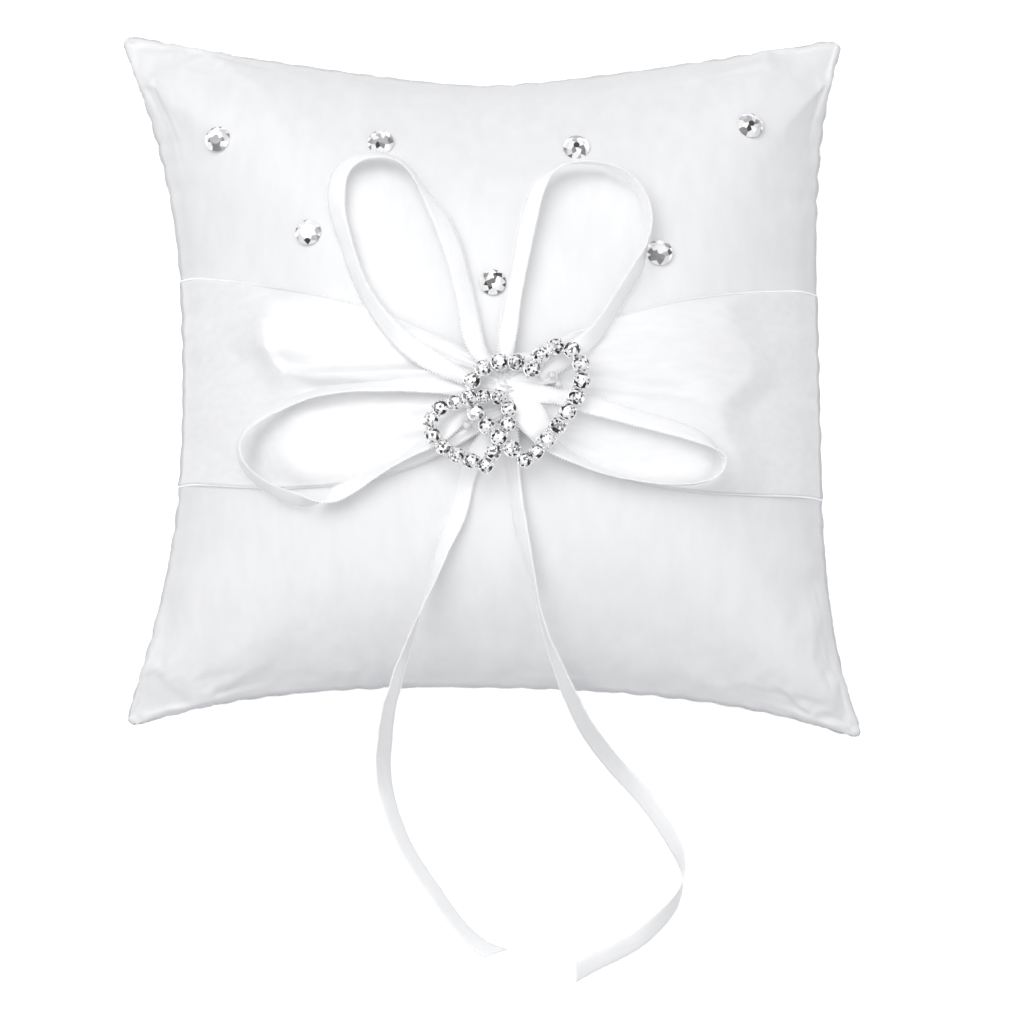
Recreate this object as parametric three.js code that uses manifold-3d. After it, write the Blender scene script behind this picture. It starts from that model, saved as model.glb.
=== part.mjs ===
// Ring bearer pillow: a stuffed satin cushion with a gathered sash ribbon, a narrow ribbon bow with four
// loops and two tails, an interlocked double heart set with stones, and seven flat-backed crystals.
// Millimetres. +Z is up, out of the front face. +Y points to the pillow's top edge and +X to its right.
// The origin is on the resting plane, under the middle of the pillow.
import * as THREE from 'three';
import { mergeVertices } from 'three/addons/utils/BufferGeometryUtils.js';
import Module from 'manifold-3d';

const wasm = await Module();
wasm.setup();

// ---- Driving dimensions ---------------------------------------------------------------------------

// Cover: four corners of the seam line (x, y and height), and how far each side is drawn in between them.
const CORNERS = {
  topLeft: { x: -102, y: 98.5, z: 18 },
  topRight: { x: 99, y: 98, z: 18 },
  bottomLeft: { x: -99.5, y: -95, z: 12 },
  bottomRight: { x: 102, y: -98.5, z: 12 },
};
const SIDE_PULL = {
  left: { depth: 15.5, power: 2.5, softness: 1.3 },
  right: { depth: 9, power: 3.5, softness: 1 },
  top: { depth: 15.5, power: 1.4, softness: 1 },
  bottom: { depth: 9, power: 2.3, softness: 1 },
};
const SEAM_HEIGHT = 27;
const FRONT_RISE = 37;
const BACK_DROP = 34;
const COVER_HALF_SIZE = 95;
const PANEL_THICKNESS = 0.8;
const GAP = 0.3;
const FILLING_GAP = 1.3;
const PANEL_DIVISIONS = 18;
const FILLING_DIVISIONS = 12;
const FILLING_REACH = 0.95;

const SEAM_THREAD_RADIUS = 0.4;
const SEAM_THREAD_OFFSET = 1;
const SEAM_THREAD_STEPS_PER_SIDE = 14;

// Sash: a wide ribbon across the front, pulled together at the knot.
const KNOT = { x: 4, y: -13 };
const SASH_HALF_WIDTH = 29.2;
const SASH_WAIST_SHARE = 0.2;
const SASH_SPREAD_LENGTH = 38;
const SASH_END_RISE = { left: 10.7, right: 7.3 };
const SASH_END_DISTANCE = 90;
const SASH_CURVE_POWER = 2.2;
const SASH_THICKNESS = 0.8;
const SASH_LIFT = 0.6;
const SASH_WAIST_LIFT = 2.4;
const SASH_WAIST_LENGTH = 18;
const SASH_REACH = 0.975;
const SASH_STEPS = 30;
const SASH_ROWS = 6;

const GATHER_THREAD_RADIUS = 0.35;
const GATHER_LOOP_HALF_WIDTH = 7.4;
const GATHER_LOOP_HALF_HEIGHT = 1.35;

const KNOT_HALF_LENGTH = 7.5;
const KNOT_HALF_WIDTH = 6.5;
const KNOT_THICKNESS = 2.8;
const KNOT_BASE_HEIGHT = 69.4;

// Narrow ribbon of the bow and of the tails.
const RIBBON_WIDTH = 6;
const RIBBON_THICKNESS = 1;
const RIBBON_WIDTH_AT_KNOT = 3.6;
const RIBBON_TAPER_LENGTH = 14;
const RIBBON_STEP = 6.5;

// Double heart.
const HEART_FRAME_BASE = 73;
const RAIL_WIDTH = 1.6;
const RAIL_THICKNESS = 0.9;
const RAIL_STEPS = 44;
const CUP_RIM = 0.25;
const CUP_TAPER = 0.3;
const CUP_HEIGHT = 1.4;
const CUP_SIDES = 8;
const LARGE_STONE_RADIUS = 1.9;
const SMALL_STONE_RADIUS = 1.7;
const STONE_SIDES = 8;
const LARGE_HEART_STONES = 21;
const SMALL_HEART_STONES = 15;
const STONE_CLEARANCE = 3.5;

// Flat-backed crystals on the front: their places.
const CRYSTAL_RADIUS = 3.5;
const CRYSTAL_HEIGHT = 2.4;
const CRYSTAL_SIDES = 10;
const CRYSTAL_PLACES = {
  crystal_top_left: [-75, 64],
  crystal_top_mid_left: [-30, 60.5],
  crystal_top_mid_right: [24, 59],
  crystal_top_right: [72, 67.5],
  crystal_mid_left: [-49.5, 34.5],
  crystal_mid_right: [46.5, 28],
  crystal_centre: [1, 18.5],
};

// Bow loops. Each point is x, y, z and lean: the ribbon lies flat at 0 degrees and stands on edge at 90.
const LOOP_ROUTES = {
  loop_upper_left: [
    [0.5, -6, 70.6, 5], [-3.3, -0.9, 70.6, 8], [-6.3, 12.9, 69.9, 30], [-8.9, 23.7, 68.8, 30],
    [-10.9, 30.1, 67.8, 28], [-13.2, 35.9, 66.6, 38], [-16.3, 41.8, 65.2, 55], [-19.4, 47.5, 63.6, 70],
    [-23.2, 52.6, 62, 72], [-27.3, 55.1, 60.9, 66], [-32.3, 55.7, 60.2, 62], [-37.5, 54.2, 59.9, 52],
    [-41, 50.6, 59.9, 38], [-42.2, 44.6, 60.4, 30], [-41.4, 37.6, 61.2, 44], [-39.5, 31.3, 62.2, 54],
    [-37.5, 24.3, 63.2, 57], [-35.3, 18.8, 64.3, 57], [-32.3, 12.9, 65.6, 55], [-28.5, 7.3, 67, 45],
    [-23.2, 1.4, 68.6, 28], [-15.6, -4.2, 70.4, 8], [-5.5, -9.6, 71.2, 0],
  ],
  loop_upper_right: [
    [4.6, -6, 69.4, 0], [4.6, -0.8, 69.9, -8], [5.6, 7.3, 69.9, -30], [6.5, 13.5, 69.7, -38],
    [8.4, 23.7, 68.9, -37], [9.5, 30, 68, -33], [10.8, 36.1, 67.1, -33], [12.3, 42, 65.9, -43],
    [14.2, 47, 64.8, -50], [16.7, 50.3, 63.8, -66], [20.3, 52.3, 62.8, -77], [25.5, 53.1, 61.9, -84],
    [31.6, 52.5, 61.5, -90], [37.3, 49.6, 61.6, -100], [41.7, 44.8, 62, -106], [43.7, 39, 62.7, -106],
    [44, 33.5, 63.6, -100], [43, 27.9, 64.7, -82], [40.8, 22.7, 65.8, -62], [38, 17.9, 66.6, -58],
    [35, 12.8, 67.4, -58], [31.9, 7.7, 68.1, -55], [28.1, 2.8, 68.7, -42], [22.4, -2, 69.3, -20],
    [13.4, -8.6, 69.6, -5],
  ],
  loop_lower_left: [
    [-4.8, -12.6, 69.2, 5], [-13.4, -10.8, 69.2, 25], [-21.6, -10.4, 68.6, 38], [-29.8, -10.6, 67.6, 50],
    [-38, -10.8, 66.1, 58], [-44.9, -11.4, 64.6, 58], [-50.4, -12.5, 63, 58], [-55.9, -14.4, 61.2, 58],
    [-61.4, -16.7, 59.4, 58], [-65.8, -19.6, 57.8, 66], [-68.7, -23.8, 56.4, 76],
    [-68.3, -28.7, 55.8, 80], [-65.5, -33, 56.2, 76], [-61.1, -36.6, 57, 70], [-55.8, -39.5, 58.4, 64],
    [-50.9, -41.1, 59.6, 66], [-47, -41.4, 60.8, 95], [-42.4, -39.8, 61.8, 140], [-36.9, -37.2, 63, 140],
    [-31.1, -34.3, 64.6, 122], [-26.5, -31.8, 66, 116], [-20.2, -28.3, 67.3, 125],
    [-13.1, -23.8, 68.5, 158], [-5, -16.8, 69.6, 178],
  ],
  loop_lower_right: [
    [12.8, -12.8, 69.8, -5], [18.8, -13.8, 69.7, -8], [27, -15.9, 69.2, -14], [33.5, -17.6, 68.4, -22],
    [39.5, -19.2, 67.4, -27], [45.8, -20.6, 66.2, -30], [52.1, -22.2, 64.8, -34], [57.6, -24, 63.4, -48],
    [61.6, -26.3, 62.2, -70], [64.2, -29.4, 61.4, -98], [63.6, -32.7, 61, -102], [61.2, -35.1, 61.1, -98],
    [57.1, -36.5, 61.6, -95], [51.6, -37.1, 62.4, -97], [44.5, -36.7, 63.8, -101],
    [36, -35.2, 65.7, -110], [29.1, -33.2, 67, -119], [22.3, -30.4, 68.2, -125], [16.3, -26.7, 69, -150],
    [10.2, -19.8, 69.6, -177],
  ],
};
// Tails: from the knot down the front, over the near edge and along the resting plane to the cut end.
const TAIL_ROUTES = {
  tail_left: [
    [1.6, -20.6, 69.2, 5], [-1.8, -26.5, 67, 12], [-5.8, -33.2, 64, 24], [-8.5, -44.5, 61.9, 28],
    [-13.1, -55.7, 60.8, 50], [-15.3, -62.4, 59.7, 66], [-18, -69, 57.7, 82], [-19.7, -73.4, 55.8, 92],
    [-21.3, -77.7, 53.4, 100], [-23, -81.7, 50.3, 105], [-24.6, -85.6, 46, 111], [-26, -89.5, 40, 115],
    [-27.3, -92.8, 33, 119], [-28.4, -96.8, 24.5, 125], [-29.1, -101.2, 16, 131], [-29.5, -105.8, 9, 135],
    [-29.3, -110.3, 4.8, 138], [-28.6, -114.5, 2.9, 138], [-26.6, -121.2, 2.8, 138],
    [-23.8, -127.9, 2.8, 138], [-19.9, -134.7, 2.8, 138], [-15.2, -141.4, 2.8, 138],
    [-10.7, -148.1, 2.8, 138], [-6.3, -153.2, 2.8, 140], [-1.6, -157, 2.7, 144], [4.3, -159.5, 2.4, 150],
  ],
  tail_right: [
    [5.8, -20.6, 69.2, 5], [6, -26.5, 67.3, 22], [6.2, -33.4, 64.8, 42], [7.9, -44.7, 63.2, 52],
    [10.3, -55.8, 61.7, 66], [12.4, -64.9, 59.7, 82], [13.3, -69.1, 58.4, 85], [14.4, -73.5, 56.6, 83],
    [15.8, -77.8, 54.2, 79], [17.5, -81.8, 51, 73], [19.3, -85.6, 46.5, 67], [21.3, -89.5, 40.5, 61],
    [23.3, -92.8, 33, 57], [26, -96.9, 24.5, 53], [29.6, -101.1, 15.8, 47], [33.5, -105.2, 9, 42],
    [37.5, -109.1, 5, 38], [42.8, -114.5, 2.8, 34], [47.8, -121.2, 2.7, 34], [51.6, -127.8, 3, 45],
    [53.6, -133.6, 3.5, 70], [53.8, -138.4, 3.7, 90], [52, -143.6, 3.6, 110], [48.5, -148.2, 3.3, 130],
    [41.5, -154.4, 2.8, 146], [35.2, -158, 2.6, 150], [28.2, -161.4, 2.6, 150], [22.9, -164.5, 2.6, 150],
  ],
};

// Hearts: cubic arcs from the notch round the right lobe to the tip and back round the left lobe, seen
// from above. Each arc is its start, its two handles and its end.
const LARGE_HEART_ARCS = [
  [[11.7, -7.2], [13.2, -0.5], [24.6, 3], [25.4, -8.2]],
  [[25.4, -8.2], [25.9, -15], [17, -25.5], [10.3, -33]],
  [[10.3, -33], [5, -27.5], [-6, -20.5], [-5.4, -13.5]],
  [[-5.4, -13.5], [-5, -6], [5, -2.6], [11.7, -7.2]],
];
const SMALL_HEART_ARCS = [
  [[-5, -17], [-4, -13.8], [5.8, -12.8], [5.6, -20]],
  [[5.6, -20], [5.4, -24.5], [1.5, -29], [-1, -34.2]],
  [[-1, -34.2], [-4.5, -32.3], [-16.3, -30], [-15.9, -22.3]],
  [[-15.9, -22.3], [-15.6, -17.5], [-8, -15], [-5, -17]],
];

// ---- Materials ------------------------------------------------------------------------------------

const MATERIALS = {
  satin: { color: 0xf4f4f6, roughness: 0.45, metalness: 0 },
  ribbon: { color: 0xfafafc, roughness: 0.3, metalness: 0 },
  thread: { color: 0xf0f0f0, roughness: 0.7, metalness: 0 },
  fibre: { color: 0xf7f7f5, roughness: 0.95, metalness: 0 },
  silver: { color: 0xd2d3d6, roughness: 0.18, metalness: 1 },
  crystal: { color: 0xeef2f6, roughness: 0.03, metalness: 0.1 },
};

// ---- Geometry helpers -----------------------------------------------------------------------------

const lerp = THREE.MathUtils.lerp;
const UP = new THREE.Vector3(0, 0, 1);

// Closed body from points and triangles: merges shared points, drops triangles that collapse, and turns
// the faces outward.
function closedBody(points, triangles) {
  const raw = new THREE.BufferGeometry();
  raw.setAttribute('position', new THREE.Float32BufferAttribute(points.flatMap((p) => [p.x, p.y, p.z]), 3));
  raw.setIndex(triangles.flat());
  const merged = mergeVertices(raw, 1e-4);
  const index = merged.getIndex().array;
  const kept = [];
  for (let i = 0; i < index.length; i += 3) {
    const [a, b, c] = [index[i], index[i + 1], index[i + 2]];
    if (a !== b && b !== c && c !== a) kept.push([a, b, c]);
  }
  const position = merged.getAttribute('position');
  const corner = (i) => new THREE.Vector3().fromBufferAttribute(position, i);
  const volume = kept.reduce((sum, [a, b, c]) => sum + corner(a).dot(corner(b).cross(corner(c))), 0);
  merged.setIndex((volume > 0 ? kept : kept.map(([a, b, c]) => [a, c, b])).flat());
  merged.computeVertexNormals();
  return merged;
}

// Solid between two grids of points of the same size, closed by a wall round their rim.
function solidBetweenGrids(upper, lower) {
  const rows = upper.length;
  const columns = upper[0].length;
  const points = [...upper.flat(), ...lower.flat()];
  const half = rows * columns;
  const at = (i, j, layer) => layer * half + i * columns + j;
  const triangles = [];
  const quad = (a, b, c, d) => triangles.push([a, b, c], [a, c, d]);
  for (let i = 0; i < rows - 1; i += 1) {
    for (let j = 0; j < columns - 1; j += 1) {
      quad(at(i, j, 0), at(i + 1, j, 0), at(i + 1, j + 1, 0), at(i, j + 1, 0));
      quad(at(i, j, 1), at(i, j + 1, 1), at(i + 1, j + 1, 1), at(i + 1, j, 1));
    }
  }
  for (let i = 0; i < rows - 1; i += 1) {
    quad(at(i, 0, 0), at(i, 0, 1), at(i + 1, 0, 1), at(i + 1, 0, 0));
    quad(at(i, columns - 1, 0), at(i + 1, columns - 1, 0), at(i + 1, columns - 1, 1), at(i, columns - 1, 1));
  }
  for (let j = 0; j < columns - 1; j += 1) {
    quad(at(0, j, 0), at(0, j + 1, 0), at(0, j + 1, 1), at(0, j, 1));
    quad(at(rows - 1, j, 0), at(rows - 1, j, 1), at(rows - 1, j + 1, 1), at(rows - 1, j + 1, 0));
  }
  return closedBody(points, triangles);
}

// Solid through a row of section rings; the ends are capped, or joined when the row is a closed loop.
function solidThroughRings(rings, isLoop) {
  const sides = rings[0].length;
  const points = rings.flat();
  const triangles = [];
  const lastRing = isLoop ? rings.length : rings.length - 1;
  for (let i = 0; i < lastRing; i += 1) {
    const here = i * sides;
    const next = ((i + 1) % rings.length) * sides;
    for (let k = 0; k < sides; k += 1) {
      const m = (k + 1) % sides;
      triangles.push([here + k, next + k, next + m], [here + k, next + m, here + m]);
    }
  }
  if (!isLoop) {
    const end = (rings.length - 1) * sides;
    for (let k = 1; k < sides - 1; k += 1) {
      triangles.push([0, k, k + 1], [end, end + k + 1, end + k]);
    }
  }
  return closedBody(points, triangles);
}

function asManifold(geometry) {
  const bare = geometry.clone();
  bare.deleteAttribute('normal');
  bare.deleteAttribute('uv');
  const merged = mergeVertices(bare, 1e-4);
  const vertProperties = new Float32Array(merged.getAttribute('position').array);
  const triVerts = new Uint32Array(merged.getIndex().array);
  return new wasm.Manifold(new wasm.Mesh({ numProp: 3, vertProperties, triVerts }));
}

function fromManifold(solid) {
  const mesh = solid.getMesh();
  const geometry = new THREE.BufferGeometry();
  geometry.setAttribute('position', new THREE.BufferAttribute(mesh.vertProperties, 3));
  geometry.setIndex(new THREE.BufferAttribute(mesh.triVerts, 1));
  geometry.computeVertexNormals();
  return geometry;
}

// ---- Cover surface --------------------------------------------------------------------------------

// How far a side is drawn in at w, which runs from -1 to 1 between its corners.
function sidePull(side, w) {
  const { depth, power, softness } = SIDE_PULL[side];
  return depth * Math.max(0, 1 - Math.abs(w) ** power) ** softness;
}

const leftX = (v) => lerp(CORNERS.bottomLeft.x, CORNERS.topLeft.x, (v + 1) / 2) + sidePull('left', v);
const rightX = (v) => lerp(CORNERS.bottomRight.x, CORNERS.topRight.x, (v + 1) / 2) - sidePull('right', v);
const bottomY = (u) => lerp(CORNERS.bottomLeft.y, CORNERS.bottomRight.y, (u + 1) / 2) + sidePull('bottom', u);
const topY = (u) => lerp(CORNERS.topLeft.y, CORNERS.topRight.y, (u + 1) / 2) - sidePull('top', u);

function seamHeight(u, v) {
  const s = (u + 1) / 2;
  const t = (v + 1) / 2;
  const near = lerp(CORNERS.bottomLeft.z, CORNERS.bottomRight.z, s);
  const far = lerp(CORNERS.topLeft.z, CORNERS.topRight.z, s);
  return lerp(SEAM_HEIGHT, lerp(near, far, t), Math.abs(u * v) ** 3);
}

const crown = (u, v) => Math.sqrt(Math.max(0, 1 - u * u) * Math.max(0, 1 - v * v));

const shrinkFor = (inset) => 1 - inset / COVER_HALF_SIZE;

// Point of the cover at u, v (-1 to 1 each way), moved inward by the inset.
function coverOutline(u, v, inset) {
  const x = lerp(leftX(v), rightX(v), (u + 1) / 2);
  const y = lerp(bottomY(u), topY(u), (v + 1) / 2);
  return [x * shrinkFor(inset), y * shrinkFor(inset)];
}

function seamHeightInside(u, v, inset) {
  return seamHeight(u * shrinkFor(inset), v * shrinkFor(inset));
}

function frontPoint(u, v, inset, seamGap) {
  const z = seamHeightInside(u, v, inset) + seamGap + (FRONT_RISE - inset) * crown(u, v);
  return new THREE.Vector3(...coverOutline(u, v, inset), z);
}

function backPoint(u, v, inset, seamGap) {
  const z = seamHeightInside(u, v, inset) - seamGap - (BACK_DROP - inset) * crown(u, v);
  return new THREE.Vector3(...coverOutline(u, v, inset), Math.max(inset, z));
}

// Point of the front face above x, y: u and v are found by turns.
function frontAbove(x, y) {
  let u = x / COVER_HALF_SIZE;
  let v = y / COVER_HALF_SIZE;
  for (let turn = 0; turn < 20; turn += 1) {
    u = THREE.MathUtils.clamp(2 * ((x - leftX(v)) / (rightX(v) - leftX(v))) - 1, -1, 1);
    v = THREE.MathUtils.clamp(2 * ((y - bottomY(u)) / (topY(u) - bottomY(u))) - 1, -1, 1);
  }
  return frontPoint(u, v, 0, GAP / 2);
}

function frontNormal(x, y) {
  const step = 0.5;
  const alongX = frontAbove(x + step, y).sub(frontAbove(x - step, y));
  const alongY = frontAbove(x, y + step).sub(frontAbove(x, y - step));
  return alongX.cross(alongY).normalize();
}

// Grid of points over u and v, closer together towards the seam.
function coverGrid(divisions, reach, pointAt) {
  const spaced = (i) => reach * Math.sin((Math.PI / 2) * ((2 * i) / divisions - 1));
  const steps = Array.from({ length: divisions + 1 }, (_, i) => spaced(i));
  return steps.map((u) => steps.map((v) => pointAt(u, v)));
}

// ---- Cover, filling and threads -------------------------------------------------------------------

function panelGeometry(pointOn) {
  const outer = coverGrid(PANEL_DIVISIONS, 1, (u, v) => pointOn(u, v, 0, GAP / 2));
  const inner = coverGrid(PANEL_DIVISIONS, 1, (u, v) => pointOn(u, v, PANEL_THICKNESS, GAP / 2));
  return solidBetweenGrids(outer, inner);
}

function fillingGeometry() {
  const inset = PANEL_THICKNESS + FILLING_GAP;
  const upper = coverGrid(FILLING_DIVISIONS, FILLING_REACH, (u, v) => frontPoint(u, v, inset, 0));
  const lower = coverGrid(FILLING_DIVISIONS, FILLING_REACH, (u, v) => backPoint(u, v, inset, 0));
  return solidBetweenGrids(upper, lower);
}

// Round section about a centre: side and lift are its two directions.
function roundSection(centre, side, lift, radius, sides) {
  return Array.from({ length: sides }, (_, k) => {
    const angle = (2 * Math.PI * k) / sides;
    return centre.clone().addScaledVector(side, radius * Math.cos(angle))
      .addScaledVector(lift, radius * Math.sin(angle));
  });
}

function threadRing(path, radius) {
  const rings = path.map((centre, i) => {
    const before = path[(i + path.length - 1) % path.length];
    const after = path[(i + 1) % path.length];
    const tangent = after.clone().sub(before).normalize();
    const reference = Math.abs(tangent.z) > 0.9 ? new THREE.Vector3(1, 0, 0) : UP;
    const side = tangent.clone().cross(reference).normalize();
    return roundSection(centre, side, side.clone().cross(tangent), radius, 6);
  });
  return solidThroughRings(rings, true);
}

function seamThreadGeometry() {
  const side = Array.from({ length: SEAM_THREAD_STEPS_PER_SIDE }, (_, i) => {
    return Math.sin((Math.PI / 2) * ((2 * i) / SEAM_THREAD_STEPS_PER_SIDE - 1));
  });
  const round = [
    ...side.map((w) => [w, -1]),
    ...side.map((w) => [1, w]),
    ...side.map((w) => [-w, 1]),
    ...side.map((w) => [-1, -w]),
  ];
  const path = round.map(([u, v]) => {
    return new THREE.Vector3(...coverOutline(u, v, -SEAM_THREAD_OFFSET), seamHeight(u, v));
  });
  return threadRing(path, SEAM_THREAD_RADIUS);
}

// ---- Sash, gathering thread and knot --------------------------------------------------------------

function sashGeometry() {
  const underside = [];
  const outside = [];
  for (let i = 0; i <= SASH_STEPS; i += 1) {
    const across = SASH_REACH * Math.sin((Math.PI / 2) * ((2 * i) / SASH_STEPS - 1));
    const under = [];
    const over = [];
    for (let j = 0; j <= SASH_ROWS; j += 1) {
      const x = lerp(leftX(0), rightX(0), (across + 1) / 2);
      const distance = Math.abs(x - KNOT.x);
      const endRise = x < KNOT.x ? SASH_END_RISE.left : SASH_END_RISE.right;
      const middle = KNOT.y + endRise * (distance / SASH_END_DISTANCE) ** SASH_CURVE_POWER;
      const spread = SASH_WAIST_SHARE + (1 - SASH_WAIST_SHARE) * Math.tanh(distance / SASH_SPREAD_LENGTH);
      const y = middle + SASH_HALF_WIDTH * spread * ((2 * j) / SASH_ROWS - 1);
      const waist = Math.exp(-((distance / SASH_WAIST_LENGTH) ** 2));
      const base = frontAbove(x, y).addScaledVector(frontNormal(x, y), SASH_LIFT);
      base.z += SASH_WAIST_LIFT * waist;
      under.push(base);
      over.push(base.clone().addScaledVector(frontNormal(x, y), SASH_THICKNESS));
    }
    underside.push(under);
    outside.push(over);
  }
  return solidBetweenGrids(outside, underside);
}

function gatherThreadGeometry() {
  const rise = SASH_LIFT + SASH_WAIST_LIFT + SASH_THICKNESS / 2;
  const path = Array.from({ length: 20 }, (_, k) => {
    const angle = (2 * Math.PI * k) / 20;
    const y = KNOT.y + GATHER_LOOP_HALF_WIDTH * Math.sign(Math.cos(angle)) * Math.abs(Math.cos(angle)) ** 0.5;
    const bow = GATHER_LOOP_HALF_HEIGHT * Math.sign(Math.sin(angle)) * Math.abs(Math.sin(angle)) ** 0.5;
    return new THREE.Vector3(KNOT.x, y, frontAbove(KNOT.x, y).z + rise + bow);
  });
  return threadRing(path, GATHER_THREAD_RADIUS);
}

function knotGeometry() {
  const levels = [[0, 0.86], [0.25, 1], [0.75, 1], [1, 0.8]];
  const rings = levels.map(([rise, size]) => Array.from({ length: 16 }, (_, k) => {
    const angle = (2 * Math.PI * k) / 16;
    const x = KNOT.x + KNOT_HALF_LENGTH * size * Math.cos(angle);
    const y = KNOT.y + KNOT_HALF_WIDTH * size * Math.sin(angle);
    return new THREE.Vector3(x, y, KNOT_BASE_HEIGHT + KNOT_THICKNESS * rise);
  }));
  return solidThroughRings(rings, false);
}

// ---- Narrow ribbon --------------------------------------------------------------------------------

// Flat ribbon along a route of [x, y, z, lean]. Each end in narrowEnds (0 or 1) is pinched for the knot.
function ribbonGeometry(route, narrowEnds) {
  const points = route.map(([x, y, z]) => new THREE.Vector3(x, y, z));
  const curve = new THREE.CatmullRomCurve3(points, false, 'centripetal');
  const length = curve.getLength();
  const steps = Math.round(length / RIBBON_STEP);
  const rings = [];
  for (let i = 0; i <= steps; i += 1) {
    const along = curve.getUtoTmapping(i / steps);
    const centre = curve.getPoint(along);
    const tangent = curve.getTangent(along);
    const place = along * (route.length - 1);
    const from = Math.min(Math.floor(place), route.length - 2);
    const lean = THREE.MathUtils.degToRad(lerp(route[from][3], route[from + 1][3], place - from));
    const level = UP.clone().cross(tangent).normalize();
    const raised = tangent.clone().cross(level);
    const across = level.clone().multiplyScalar(Math.cos(lean)).addScaledVector(raised, Math.sin(lean));
    const face = tangent.clone().cross(across);
    const ends = narrowEnds.map((end) => Math.abs(end - i / steps) * length);
    const open = Math.min(1, ...ends.map((distance) => distance / RIBBON_TAPER_LENGTH));
    const half = lerp(RIBBON_WIDTH_AT_KNOT, RIBBON_WIDTH, open) / 2;
    const edge = RIBBON_THICKNESS / 2;
    const section = [
      [half, -edge / 2], [half, edge / 2], [half - edge, edge], [edge - half, edge],
      [-half, edge / 2], [-half, -edge / 2], [edge - half, -edge], [half - edge, -edge],
    ];
    rings.push(section.map(([a, b]) => centre.clone().addScaledVector(across, a).addScaledVector(face, b)));
  }
  return solidThroughRings(rings, false);
}

// ---- Double heart and stones ----------------------------------------------------------------------

function heartCurve(arcs) {
  const path = new THREE.CurvePath();
  for (const arc of arcs) {
    path.add(new THREE.CubicBezierCurve(...arc.map(([x, y]) => new THREE.Vector2(x, y))));
  }
  return path;
}

function heartPlaces(curve, count) {
  return Array.from({ length: count }, (_, k) => curve.getPointAt(k / count));
}

function railGeometry(curve) {
  const rings = Array.from({ length: RAIL_STEPS }, (_, i) => {
    const centre = curve.getPointAt(i / RAIL_STEPS);
    const before = curve.getPointAt((i + RAIL_STEPS - 1) / RAIL_STEPS % 1);
    const after = curve.getPointAt((i + 1) / RAIL_STEPS % 1);
    const tangent = after.clone().sub(before).normalize();
    const side = new THREE.Vector2(-tangent.y, tangent.x).multiplyScalar(RAIL_WIDTH / 2);
    const corner = (way, rise) => new THREE.Vector3(
      centre.x + way * side.x, centre.y + way * side.y, HEART_FRAME_BASE + rise,
    );
    return [corner(1, 0), corner(-1, 0), corner(-1, RAIL_THICKNESS), corner(1, RAIL_THICKNESS)];
  });
  return solidThroughRings(rings, true);
}

function cupGeometry(place, stoneRadius) {
  const rim = stoneRadius + CUP_RIM;
  const cup = new THREE.CylinderGeometry(rim, rim - CUP_TAPER, CUP_HEIGHT, CUP_SIDES);
  cup.rotateX(Math.PI / 2);
  cup.translate(place.x, place.y, HEART_FRAME_BASE + CUP_HEIGHT / 2);
  return cup;
}

const largeHeart = heartCurve(LARGE_HEART_ARCS);
const smallHeart = heartCurve(SMALL_HEART_ARCS);
const largePlaces = heartPlaces(largeHeart, LARGE_HEART_STONES);
// Where the hearts cross, the large heart's stone serves both.
const smallPlaces = heartPlaces(smallHeart, SMALL_HEART_STONES)
  .filter((place) => largePlaces.every((other) => other.distanceTo(place) > STONE_CLEARANCE));

function heartFrameGeometry() {
  let frame = asManifold(railGeometry(largeHeart)).add(asManifold(railGeometry(smallHeart)));
  for (const place of largePlaces) {
    frame = frame.add(asManifold(cupGeometry(place, LARGE_STONE_RADIUS)));
  }
  for (const place of smallPlaces) {
    frame = frame.add(asManifold(cupGeometry(place, SMALL_STONE_RADIUS)));
  }
  return fromManifold(frame);
}

function latheUp(profile, sides) {
  const body = new THREE.LatheGeometry(profile.map(([r, z]) => new THREE.Vector2(r, z)), sides);
  body.rotateX(Math.PI / 2);
  return body;
}

function stoneGeometry(r) {
  return latheUp([[0, 0], [0.65 * r, 0], [r, 0.4 * r], [0.6 * r, 0.85 * r], [0, 0.85 * r]], STONE_SIDES);
}

function crystalGeometry() {
  const r = CRYSTAL_RADIUS;
  const h = CRYSTAL_HEIGHT;
  return latheUp([[0, 0], [0.94 * r, 0], [r, 0.18 * h], [0.45 * r, 0.9 * h], [0, h]], CRYSTAL_SIDES);
}

// ---- Assembly -------------------------------------------------------------------------------------

const pillow = new THREE.Group();

function addPart(name, geometry, material, parent = pillow) {
  const mesh = new THREE.Mesh(geometry, new THREE.MeshStandardMaterial(MATERIALS[material]));
  mesh.name = name;
  parent.add(mesh);
  return mesh;
}

addPart('filling', fillingGeometry(), 'fibre');
addPart('front_panel', panelGeometry(frontPoint), 'satin');
addPart('back_panel', panelGeometry(backPoint), 'satin');
addPart('seam_thread', seamThreadGeometry(), 'thread');
addPart('sash_ribbon', sashGeometry(), 'ribbon');
addPart('gather_thread', gatherThreadGeometry(), 'thread');
addPart('center_knot', knotGeometry(), 'ribbon');

for (const [name, route] of Object.entries(LOOP_ROUTES)) {
  addPart(name, ribbonGeometry(route, [0, 1]), 'ribbon');
}
for (const [name, route] of Object.entries(TAIL_ROUTES)) {
  addPart(name, ribbonGeometry(route, [0]), 'ribbon');
}

const doubleHeart = new THREE.Group();
pillow.add(doubleHeart);
addPart('double_heart_frame', heartFrameGeometry(), 'silver', doubleHeart);
const STONE_SETS = [
  ['large', largePlaces, LARGE_STONE_RADIUS],
  ['small', smallPlaces, SMALL_STONE_RADIUS],
];
for (const [heart, places, radius] of STONE_SETS) {
  places.forEach((place, i) => {
    const name = `${heart}_heart_stone_${String(i + 1).padStart(2, '0')}`;
    const stone = addPart(name, stoneGeometry(radius), 'crystal', doubleHeart);
    stone.position.set(place.x, place.y, HEART_FRAME_BASE + CUP_HEIGHT + GAP);
  });
}

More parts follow.
